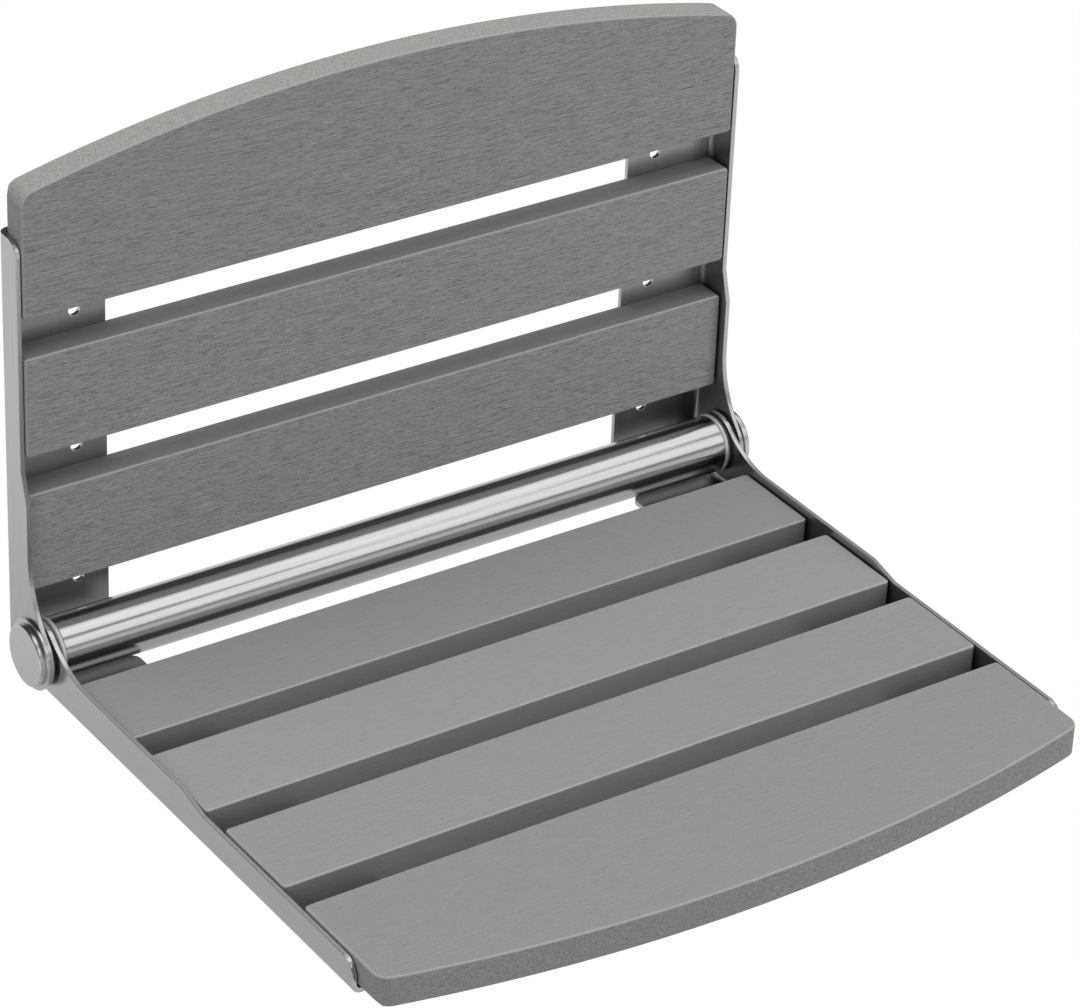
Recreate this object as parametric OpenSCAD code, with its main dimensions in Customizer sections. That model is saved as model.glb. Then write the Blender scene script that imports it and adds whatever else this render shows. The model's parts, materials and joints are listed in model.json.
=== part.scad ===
// Fold down wall seat: a slatted back on angle brackets, and a slatted seat that folds up on a cross tube.
// Millimetres. X runs across the seat, +Z is up, the seat faces -Y and the wall is the plane Y = 0.
// The origin is the centre of the wall screw pattern, on the wall plane.

/* [Slats] */
// Thickness of every slat
slat_thick = 15.5; // [13:0.5:20]
// Width of a plain slat
slat_w = 52.4; // [46:0.2:60]
// Rounding round a slat's show face
slat_edge_r = 1.5; // [0.5:0.1:3]
// Corner radius of a plain slat, seen on its show face
slat_corner_r = 2; // [1:0.5:4]
// Corner radius at the ends of an arched edge
arch_corner_r = 6; // [4:0.5:12]

/* [Back] */
// Length of the back slats
back_len = 400; // [370:5:460]
// Gap between the back slats
back_gap = 20.3; // [16:0.1:26]
// Height of the arched top slat at its crest
top_slat_h = 88.2; // [80:0.1:110]
// Radius of the top slat's arch
top_arch_r = 840; // [780:10:1400]
// Height of the lowest back slat above the top of the seat
back_rise = 33.4; // [31:0.1:45]
// Gap between the end of a back slat and the bracket beside it
back_end_gap = 0.5; // [0.4:0.1:1.5]

/* [Seat] */
// Gap between the seat slats
seat_gap = 16.3; // [10:0.1:24]
// Distance from the faces of the back slats to the rear edge of the seat slats
seat_start = 37.4; // [34:0.1:45]
// Depth of the arched front slat at its crest
front_slat_w = 87; // [80:0.5:110]
// Radius of the front slat's arch
front_arch_r = 825; // [780:5:1400]
// Gap between the end of a seat slat and the bracket beside it
seat_end_gap = 0.6; // [0.4:0.1:2]

/* [Brackets] */
// Thickness of the bracket sheet
sheet = 2.5; // [2:0.1:3]
// Inner radius of the brackets' bends, which the slats' back edges follow
bend_in_r = 2.5; // [2:0.1:3.5]
// Width of the flange that lies on the wall
wall_flange_w = 54.5; // [50:0.5:60]
// Width of the flange that carries the seat slats
seat_flange_w = 53; // [46:1:60]
// Corner radius of the flat flanges
flange_corner_r = 5; // [2:0.5:8]
// How far a wall bracket runs up behind the top slat
wall_lap = 40.7; // [36:0.1:52]
// How far a wall bracket runs down past the top of the seat
wall_drop = 9; // [8:0.1:10]
// Radius of the front corner at the top of a wall bracket
wall_top_r = 8; // [4:0.5:12]
// How far a seat bracket runs under the front slat
seat_lap = 46.5; // [40:0.5:52]
// Radius of the front corner of a seat bracket's side
seat_front_r = 9; // [4:0.5:12]

/* [Pivot] */
// Distance of the pivot in front of the back slats' faces
pivot_out = 8; // [7:0.1:9]
// Height of the pivot above the top of the seat
pivot_up = 4; // [3.5:0.1:5]
// Radius of the round end of a wall bracket, about the pivot
wall_lobe_r = 17; // [16.5:0.1:18]
// Radius of the round end of a seat bracket, about the pivot
seat_lobe_r = 16.3; // [15.8:0.1:16.5]
// Outer diameter of the cross tube
tube_d = 30; // [26:0.5:31]
// Wall of the cross tube
tube_wall = 1.5; // [1:0.1:2.5]
// Diameter of the pivot bolt's shank
bolt_d = 12; // [8:0.5:14]
// Diameter of the pivot bolt's cap
cap_d = 31.2; // [26:0.2:32]
// Thickness of the pivot bolt's cap
cap_t = 3.1; // [2:0.1:5]
// Width of the gap between a wall bracket and the seat bracket inside it
hinge_gap = 1.5; // [1:0.1:2.5]

/* [Wall screws] */
// Distance of the wall screw holes from the inner edge of their flange
wall_hole_inset = 16.5; // [10:0.5:20]
// Diameter of a wall screw hole
wall_hole_d = 6.2; // [5:0.1:9]

/* [Hidden] */

// Facets on small rounds and on the wide arches
$fn = 48;
arch_fn = 720;

// Colours
slat_grey = [0.5, 0.5, 0.49];
steel = [0.74, 0.74, 0.73];
dark_nylon = [0.13, 0.13, 0.13];

// Clearances: a running fit, a threaded or pressed fit, a sliding fit, sideways play at the pivot,
// room round a screw, and the overrun of every cut
run_fit = 0.05;
press_fit = 0.03;
slide_fit = 0.1;
side_play = 0.1;
screw_room = 0.25;
over = 1;

// Slats: the rounding of the edges that lie on a bracket is that of the bracket's bend
slat_back_r = bend_in_r;

// Back: heights of the slats, with the middle of the lower gap at zero
face_y = -(sheet + slat_thick);
back_pitch = slat_w + back_gap;
lower_slat_z = -(back_gap / 2 + slat_w);
top_slat_z = lower_slat_z + 2 * back_pitch;
seat_top = lower_slat_z - back_rise;

// Seat: places of the slats, and the underside that the brackets carry
seat_pitch = slat_w + seat_gap;
seat_rear_y = face_y - seat_start;
front_slat_y = seat_rear_y - 3 * seat_pitch;
seat_under = seat_top - slat_thick;

// Brackets: the planes of the side flanges, from the middle of the seat
bend_out_r = bend_in_r + sheet;
wall_in = back_len / 2 + back_end_gap;
wall_out = wall_in + sheet;
seat_out = wall_in - hinge_gap;
seat_in = seat_out - sheet;
seat_len = 2 * (seat_in - seat_end_gap);
wall_hole_x = wall_out - wall_flange_w + wall_hole_inset;

// Pivot: its place in the plane of the sides
pivot_y = face_y - pivot_out;
pivot_z = seat_top + pivot_up;

// Wall bracket side: its front edge stays just behind the slats' faces, then steps out over the lowest slat
wall_setback = 0.3;
wall_proud = 4.5;
wall_top = top_slat_z + wall_lap;
wall_bottom = seat_top - wall_drop;
wall_upper_y = face_y + wall_setback;
wall_lower_y = face_y - wall_proud;
// The step runs from above to below the upper edge of the lowest back slat
step_above = 14.2;
step_below = 2.8;
step_high = lower_slat_z + slat_w + step_above;
step_low = lower_slat_z + slat_w - step_below;
// Radius of the hollow that runs into the round end
wall_web_r = 54;

// Seat bracket side: high beside the tube and the first slats, low under the last ones
seat_proud = 3.5;
seat_setback = 0.9;
seat_bottom = seat_under - sheet;
seat_high = seat_top + seat_proud;
seat_low = seat_top - seat_setback;
seat_front_y = front_slat_y - seat_lap;
high_run = 104.6;
slope_run = 18;
slope_start_y = seat_rear_y - high_run;
seat_web_r = 50;
// The flange under the slats starts a little behind the pivot
seat_tail = 2;
seat_tail_y = pivot_y + seat_tail;
// Heel: the nose at the lower rear of the side, which bears on the wall bracket when the seat is down
heel_r = 4;
heel_gap = 0.35;
heel_depth = 11;
heel_room = bend_in_r - sqrt(pow(bend_in_r, 2) - pow(max(0, seat_out - wall_out + bend_out_r), 2));
heel_y = -sheet - heel_room - heel_gap - heel_r;
heel_z = pivot_z - heel_depth;

// Pivot stack, from the outside in
cap_washer_t = 1.5;
cap_washer_lip = 2.4;
cap_round = 0.8;
washer_r = 14;
spacer_t = 1.6;
spacer_r = 14.6;
plug_ring_t = 2.4;
plug_lip = 0.6;
plug_round = 0.5;
plug_reach = 18;
bolt_tip = 4;
cap_washer_r = cap_d / 2 + cap_washer_lip;
ring_out = seat_in - spacer_t;
tube_end = ring_out - plug_ring_t;
bolt_end = tube_end - plug_reach + bolt_tip;

// Slat screws: countersunk heads, flush with the back of the bracket sheet
screw_r = 2.1;
screw_head_r = 4;
screw_head_h = 2.1;
screw_rim = 0.2;
screw_reach = 10;
screw_point = 3;
screw_inset = 12;
screw_x = wall_out - wall_flange_w / 2;

// Slats: a section with rounded corners, its show side on y = 0
module softened(w, t) {
    translate([-w / 2, slat_back_r - t])
        square([w, t - slat_back_r - slat_edge_r]);
    translate([-w / 2 + slat_edge_r, -t / 2])
        square([w - 2 * slat_edge_r, t / 2]);
    translate([-w / 2 + slat_back_r, -t])
        square([w - 2 * slat_back_r, t / 2]);
    for (side = [-1, 1]) {
        translate([side * (w / 2 - slat_edge_r), -slat_edge_r])
            circle(r = slat_edge_r);
        translate([side * (w / 2 - slat_back_r), slat_back_r - t])
            circle(r = slat_back_r);
    }
}

// A rectangle with round corners, centred
module round_rect(w, h, r) {
    square([w - 2 * r, h], center = true);
    square([w, h - 2 * r], center = true);
    for (x = [-1, 1], y = [-1, 1])
        translate([x * (w / 2 - r), y * (h / 2 - r)])
            circle(r = r);
}

// Turns a section in X and Z into a bar along Y
module along_y(length) {
    rotate([90, 0, 0])
        translate([0, 0, -length])
            linear_extrude(length)
                children();
}

// Turns a section in Y and Z into a bar along X, centred
module along_x(length) {
    rotate([90, 0, 90])
        linear_extrude(length, center = true)
            children();
}

// A plain slat: X along it, Y across it from zero to w, its show face on Z = 0
module plain_slat(length, w) {
    intersection() {
        along_x(length)
            translate([w / 2, 0])
                softened(w, slat_thick);
        along_y(w)
            softened(length, slat_thick);
        translate([0, w / 2, -slat_thick])
            linear_extrude(slat_thick)
                round_rect(length, w, slat_corner_r);
    }
}

// A flat disc whose rim has the slats' rounding
module soft_disc(r, fn) {
    rotate_extrude($fn = fn)
        intersection() {
            softened(2 * r, slat_thick, $fn = 48);
            translate([0, -slat_thick])
                square([r, slat_thick]);
        }
}

// A slat whose far edge is an arch of radius arch_r and runs round two corners into its ends
module arched_slat(length, w, arch_r) {
    centre_y = w - arch_r;
    corner_x = length / 2 - arch_corner_r;
    corner_y = centre_y + sqrt(pow(arch_r - arch_corner_r, 2) - pow(corner_x, 2));
    spread = corner_x / (corner_y - centre_y);
    low = corner_y / 2;
    high = w + over;
    intersection() {
        along_x(length)
            intersection() {
                translate([corner_y, 0])
                    softened(2 * corner_y, slat_thick);
                translate([0, -slat_thick])
                    square([corner_y, slat_thick]);
            }
        along_y(corner_y)
            softened(length, slat_thick);
        translate([0, corner_y, -slat_thick])
            linear_extrude(slat_thick)
                round_rect(length, 2 * corner_y, slat_corner_r);
    }
    for (side = [-1, 1])
        translate([side * corner_x, corner_y, 0])
            soft_disc(arch_corner_r, $fn);
    intersection() {
        translate([0, centre_y, 0])
            soft_disc(arch_r, arch_fn);
        translate([0, 0, -slat_thick])
            linear_extrude(slat_thick)
                polygon([
                    [-(low - centre_y) * spread, low],
                    [(low - centre_y) * spread, low],
                    [(high - centre_y) * spread, high],
                    [-(high - centre_y) * spread, high],
                ]);
    }
}

// Places of the two screws across a slat, where the bracket carries it over the width span
function screw_rows(span) = [screw_inset, span - screw_inset];

// Places a back slat whose lower edge is at height z, and drills it for its screws
module back_slat(z, span) {
    difference() {
        translate([0, face_y, z])
            rotate([90, 0, 0])
                children();
        back_screws_at(z, span)
            screw_pilot();
    }
}

// Places a seat slat whose rear edge is at y, and drills it for its screws
module seat_slat(y, span) {
    difference() {
        translate([0, y, seat_top])
            rotate([0, 0, 180])
                children();
        seat_screws_at(y, span)
            screw_pilot();
    }
}

module back_slat_top() {
    color(slat_grey)
        back_slat(top_slat_z, wall_lap)
            arched_slat(back_len, top_slat_h, top_arch_r);
}

module back_slat_middle() {
    color(slat_grey)
        back_slat(lower_slat_z + back_pitch, slat_w)
            plain_slat(back_len, slat_w);
}

module back_slat_lower() {
    color(slat_grey)
        back_slat(lower_slat_z, slat_w)
            plain_slat(back_len, slat_w);
}

module seat_slat_plain(row) {
    color(slat_grey)
        seat_slat(seat_rear_y - row * seat_pitch, slat_w)
            plain_slat(seat_len, slat_w);
}

module seat_slat_front() {
    color(slat_grey)
        seat_slat(front_slat_y, seat_lap)
            arched_slat(seat_len, front_slat_w, front_arch_r);
}

// Screws: points along -Z from the flush face of its head, which lies on Z = 0
module screw() {
    translate([0, 0, -screw_rim])
        cylinder(r = screw_head_r, h = screw_rim);
    translate([0, 0, -screw_head_h])
        cylinder(r1 = screw_r, r2 = screw_head_r, h = screw_head_h - screw_rim);
    translate([0, 0, screw_point - sheet - screw_reach])
        cylinder(r = screw_r, h = sheet + screw_reach - screw_point - screw_rim);
    translate([0, 0, -sheet - screw_reach])
        cylinder(r1 = 0, r2 = screw_r, h = screw_point);
}

// The hole that a screw cuts in a slat
module screw_pilot() {
    translate([0, 0, -sheet - screw_reach - press_fit])
        cylinder(r = screw_r + press_fit, h = sheet + screw_reach + press_fit);
}

// The hole for a screw in the bracket sheet, with the seat for its head
module screw_seat() {
    translate([0, 0, -sheet - over])
        cylinder(r = screw_r + screw_room, h = sheet + 2 * over);
    translate([0, 0, -screw_head_h])
        cylinder(r1 = screw_r + slide_fit, r2 = screw_head_r + slide_fit, h = screw_head_h - screw_rim);
    translate([0, 0, -screw_rim])
        cylinder(r = screw_head_r + slide_fit, h = over);
}

// The screws of one back slat, on both brackets, driven from the wall side
module back_screws_at(z, span) {
    for (side = [-1, 1], row = screw_rows(span))
        translate([side * screw_x, 0, z + row])
            rotate([-90, 0, 0])
                children();
}

// The screws of one seat slat, on both brackets, driven from below
module seat_screws_at(y, span) {
    for (side = [-1, 1], row = screw_rows(span))
        translate([side * screw_x, y - row, seat_bottom])
            rotate([180, 0, 0])
                children();
}

// Every screw place on the back and on the seat
module all_back_screws() {
    for (slat = [0, 1])
        back_screws_at(lower_slat_z + slat * back_pitch, slat_w)
            children();
    back_screws_at(top_slat_z, wall_lap)
        children();
}

module all_seat_screws() {
    for (slat = [0:2])
        seat_screws_at(seat_rear_y - slat * seat_pitch, slat_w)
            children();
    seat_screws_at(front_slat_y, seat_lap)
        children();
}

module back_slat_screws() {
    color(steel)
        all_back_screws()
            screw();
}

module seat_slat_screws() {
    color(steel)
        all_seat_screws()
            screw();
}

// Brackets: section of a bent angle, its outer corner at the origin, its flanges a along -x and b along -y
module angle_section(a, b) {
    translate([-a, -sheet])
        square([a - bend_out_r, sheet]);
    translate([-sheet, -b])
        square([sheet, b - bend_out_r]);
    translate([-bend_out_r, -bend_out_r])
        intersection() {
            difference() {
                circle(r = bend_out_r);
                circle(r = bend_in_r);
            }
            square(bend_out_r);
        }
}

// The hollow that blends a round end of radius r about the origin into a straight edge along +x at y = edge
module hollow_web(r, edge, web_r) {
    run = sqrt(pow(web_r + r, 2) - pow(edge + web_r, 2));
    difference() {
        polygon([[0, edge], [run, edge], [run, edge + web_r], [0, 0]]);
        translate([run, edge + web_r])
            circle(r = web_r, $fn = 4 * $fn);
    }
}

// Where a line from q touches the circle of radius r about p, on the turn side 1 or -1
function touch(p, r, q, turn) =
    let (d = q - p, a = atan2(d[1], d[0]) + turn * acos(r / norm(d)))
    p + r * [cos(a), sin(a)];

// The straight-sided shape between two circles that touch its sides
module taper(p, p_r, q, q_r) {
    d = q - p;
    heading = atan2(d[1], d[0]);
    swing = acos((p_r - q_r) / norm(d));
    up = [cos(heading + swing), sin(heading + swing)];
    down = [cos(heading - swing), sin(heading - swing)];
    polygon([p + p_r * up, q + q_r * up, q + q_r * down, p + p_r * down]);
}

// Outline of a wall bracket's side in Y and Z
module wall_side() {
    pivot = [pivot_y, pivot_z];
    corner = [0, wall_bottom];
    polygon([
        corner,
        [0, wall_top],
        [wall_upper_y + wall_top_r, wall_top],
        [wall_upper_y + wall_top_r, wall_top - wall_top_r],
        [wall_upper_y, wall_top - wall_top_r],
        [wall_upper_y, step_high],
        [wall_lower_y, step_low],
        [wall_lower_y, pivot_z],
        pivot,
    ]);
    translate([wall_upper_y + wall_top_r, wall_top - wall_top_r])
        circle(r = wall_top_r);
    translate(pivot) {
        circle(r = wall_lobe_r);
        rotate(90)
            hollow_web(wall_lobe_r, pivot_y - wall_lower_y, wall_web_r);
    }
    polygon([pivot, touch(pivot, wall_lobe_r, corner, -1), corner]);
}

// A wall bracket on the +X side
module wall_bracket() {
    height = wall_top - wall_bottom;
    depth = wall_lobe_r - pivot_y;
    difference() {
        intersection() {
            translate([wall_out, 0, wall_bottom])
                linear_extrude(height)
                    angle_section(wall_flange_w, depth);
            along_x(2 * wall_out)
                wall_side();
            translate([0, -depth, 0])
                along_y(depth)
                    wall_back();
        }
        all_back_screws()
            screw_seat();
        for (row = [-1, 0, 1])
            translate([wall_hole_x, 0, row * back_pitch])
                rotate([90, 0, 0])
                    cylinder(d = wall_hole_d, h = 2 * (sheet + over), center = true);
        pivot_bore();
    }
}

// Outline of a wall bracket in X and Z, with its inner corners rounded
module wall_back() {
    reach = wall_flange_w + flange_corner_r;
    translate([wall_out + flange_corner_r - reach / 2, (wall_top + wall_bottom) / 2])
        round_rect(reach, wall_top - wall_bottom, flange_corner_r);
}

// Outline of a seat bracket's side in Y and Z, where it stands on its flange
module seat_side() {
    pivot = [pivot_y, pivot_z];
    polygon([
        [seat_tail_y, seat_bottom],
        [seat_tail_y, pivot_z],
        pivot,
        [pivot_y, seat_high],
        [slope_start_y, seat_high],
        [slope_start_y - slope_run, seat_low],
        [seat_front_y + seat_front_r, seat_low],
        [seat_front_y + seat_front_r, seat_low - seat_front_r],
        [seat_front_y, seat_low - seat_front_r],
        [seat_front_y, seat_bottom],
    ]);
    translate([seat_front_y + seat_front_r, seat_low - seat_front_r])
        circle(r = seat_front_r);
    seat_end();
}

// Outline of its round end, the hollow in front and the heel behind
module seat_end() {
    pivot = [pivot_y, pivot_z];
    heel = [heel_y, heel_z];
    translate(pivot) {
        circle(r = seat_lobe_r);
        mirror([1, 0])
            hollow_web(seat_lobe_r, seat_high - pivot_z, seat_web_r);
    }
    translate(heel)
        circle(r = heel_r);
    taper(pivot, seat_lobe_r, heel, heel_r);
}

// Outline of its flange in X and Y, with its inner corners rounded
module seat_flange() {
    reach = seat_flange_w + flange_corner_r;
    run = seat_tail_y - seat_front_y;
    translate([seat_out + flange_corner_r - reach / 2, seat_tail_y - run / 2])
        round_rect(reach, run, flange_corner_r);
}

// A seat bracket on the +X side
module seat_bracket() {
    height = seat_lobe_r + pivot_z - seat_bottom;
    run = seat_tail_y - seat_front_y;
    difference() {
        union() {
            intersection() {
                translate([seat_out, seat_tail_y - run, seat_bottom])
                    along_y(run)
                        mirror([0, 1])
                            angle_section(seat_flange_w, height);
                along_x(2 * seat_out)
                    seat_side();
                translate([0, 0, seat_bottom])
                    linear_extrude(height)
                        seat_flange();
            }
            translate([(seat_in + seat_out) / 2, 0, 0])
                along_x(sheet)
                    seat_end();
        }
        all_seat_screws()
            screw_seat();
        pivot_bore();
    }
}

// The bore for the pivot bolt, right across both sides
module pivot_bore() {
    on_pivot()
        cylinder(d = bolt_d + 2 * run_fit, h = 2 * (wall_out + over), center = true);
}

// Moves what is drawn along Z onto the pivot, so that its Z runs to +X
module on_pivot() {
    translate([0, pivot_y, pivot_z])
        rotate([0, 90, 0])
            children();
}

// A ring on the pivot between two distances from the middle, bored for the bolt
module pivot_ring(from, to, r) {
    on_pivot()
        translate([0, 0, from])
            difference() {
                cylinder(r = r, h = to - from);
                translate([0, 0, -over])
                    cylinder(d = bolt_d + 2 * run_fit, h = to - from + 2 * over);
            }
}

// Pivot: section of a disc from the axis out, with its outer rim rounded
module rimmed(r, t, rim) {
    square([r - rim, t]);
    square([r, t - rim]);
    translate([r - rim, t - rim])
        circle(r = rim);
}

module pivot_tube() {
    color(steel)
        on_pivot()
            difference() {
                cylinder(d = tube_d, h = 2 * tube_end, center = true);
                cylinder(d = tube_d - 2 * tube_wall, h = 2 * (tube_end + over), center = true);
            }
}

module tube_plug() {
    color(steel)
        on_pivot()
            difference() {
                union() {
                    translate([0, 0, tube_end])
                        rotate_extrude()
                            rimmed(tube_d / 2 + plug_lip, plug_ring_t, plug_round);
                    translate([0, 0, tube_end - plug_reach])
                        cylinder(r = tube_d / 2 - tube_wall - slide_fit, h = plug_reach + plug_round);
                }
                translate([0, 0, tube_end - plug_reach - over])
                    cylinder(d = bolt_d + 2 * press_fit, h = plug_reach + plug_ring_t + 2 * over);
            }
}

module tube_spacer() {
    color(dark_nylon)
        pivot_ring(ring_out, seat_in - side_play, spacer_r);
}

module hinge_washer() {
    color(dark_nylon)
        pivot_ring(seat_out + side_play, wall_in, washer_r);
}

module cap_washer() {
    color(steel)
        pivot_ring(wall_out, wall_out + cap_washer_t, cap_washer_r);
}

module pivot_bolt() {
    color(steel)
        on_pivot() {
            translate([0, 0, wall_out + cap_washer_t])
                rotate_extrude()
                    rimmed(cap_d / 2, cap_t, cap_round);
            translate([0, 0, bolt_end])
                cylinder(d = bolt_d, h = wall_out + cap_washer_t - bolt_end + cap_round);
        }
}

mirror([1, 0, 0])  // wall_bracket_left
        color(steel)
            wall_bracket();
color(steel)  // wall_bracket_right
        wall_bracket();
back_slat_top();
back_slat_middle();
back_slat_lower();
back_slat_screws();
mirror([1, 0, 0])  // seat_bracket_left
        color(steel)
            seat_bracket();
color(steel)  // seat_bracket_right
        seat_bracket();
seat_slat_plain(0);  // seat_slat_rear
seat_slat_plain(1);  // seat_slat_second
seat_slat_plain(2);  // seat_slat_third
seat_slat_front();
seat_slat_screws();
pivot_tube();
mirror([1, 0, 0])  // tube_plug_left
        tube_plug();
tube_plug();  // tube_plug_right
mirror([1, 0, 0])  // tube_spacer_left
        tube_spacer();
tube_spacer();  // tube_spacer_right
mirror([1, 0, 0])  // pivot_bolt_left
        pivot_bolt();
pivot_bolt();  // pivot_bolt_right
mirror([1, 0, 0])  // cap_washer_left
        cap_washer();
cap_washer();  // cap_washer_right
mirror([1, 0, 0])  // hinge_washer_left
        hinge_washer();
hinge_washer();  // hinge_washer_right
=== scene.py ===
"""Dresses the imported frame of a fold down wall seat: composite slats, bent brackets and a hinge.

Metres, in the frame of the CAD model. X runs across the seat, +Z is up, the seat faces -Y, and the
wall is the plane Y = 0.
"""
import json
import logging
import math
from collections.abc import Callable, Mapping, Sequence
from dataclasses import dataclass, replace
from enum import Enum
from typing import ClassVar, Protocol

import bmesh
import bpy
from mathutils import Matrix, Vector


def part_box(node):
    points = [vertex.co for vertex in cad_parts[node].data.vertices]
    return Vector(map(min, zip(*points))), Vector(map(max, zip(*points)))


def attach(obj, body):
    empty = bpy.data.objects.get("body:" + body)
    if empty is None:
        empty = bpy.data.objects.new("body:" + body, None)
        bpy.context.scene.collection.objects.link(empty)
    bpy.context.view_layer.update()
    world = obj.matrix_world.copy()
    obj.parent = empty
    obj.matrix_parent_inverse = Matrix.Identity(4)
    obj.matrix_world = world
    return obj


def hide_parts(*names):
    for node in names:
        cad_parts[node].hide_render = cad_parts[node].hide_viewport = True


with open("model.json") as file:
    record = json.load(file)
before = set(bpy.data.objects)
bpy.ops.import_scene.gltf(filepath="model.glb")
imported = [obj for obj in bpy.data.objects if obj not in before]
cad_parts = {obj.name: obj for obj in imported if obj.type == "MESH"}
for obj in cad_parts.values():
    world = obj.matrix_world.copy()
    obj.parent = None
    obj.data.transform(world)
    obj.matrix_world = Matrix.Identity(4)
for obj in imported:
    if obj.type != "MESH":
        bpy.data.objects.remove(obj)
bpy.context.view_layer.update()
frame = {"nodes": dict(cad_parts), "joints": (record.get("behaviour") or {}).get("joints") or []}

MM = 0.001
TOUCH = 0.01 * MM
WELD = 0.0025 * MM
PIVOT = Vector(frame["joints"][0]["pos_m"])
ACROSS = Vector((1.0, 0.0, 0.0)).freeze()
REAR = Vector((0.0, 1.0, 0.0)).freeze()
FRONT = Vector((0.0, -1.0, 0.0)).freeze()
UP = Vector((0.0, 0.0, 1.0)).freeze()

log = logging.getLogger("wall_seat")

Point = tuple[float, float]
Band = tuple[float, float]
Colour = tuple[float, float, float]
FaceRule = Callable[[Vector, Vector], bool]


class Body(Enum):
    """The two bodies of the frame that pieces ride on."""

    WALL = "wall_frame"
    SEAT = "seat"


class Side(Enum):
    """The two ends of the seat, with the sign of X there."""

    LEFT = -1
    RIGHT = 1

    @property
    def word(self) -> str:
        """The side's name as the nodes have it."""
        return self.name.lower()

    @property
    def outwards(self) -> Vector:
        """The direction from the middle of the seat towards this end."""
        return Vector((self.value, 0.0, 0.0))


class Slot(Enum):
    """The record's material slots."""

    COMPOSITE = "slat_composite"
    BRACKET = "bracket_steel"
    TUBE = "tube_steel"
    CAP = "cap_steel"
    SCREW = "screw_steel"
    NYLON = "washer_nylon"


class BoardPart(Enum):
    """The finishes of a slat besides that of its show face, as the numbers of its materials."""

    CUT = 1
    # The long sides' finish is darker: painted shade of the gaps.
    SIDE = 2
    # The rim's finish is lighter: a painted highlight.
    RIM = 3


class SheetPart(Enum):
    """The finishes of a bracket besides that of its outside, as the numbers of its materials."""

    # Inside the fold: a darker finish that is painted shade.
    INSIDE = 1
    RIM = 2


# Modelling by hand


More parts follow.
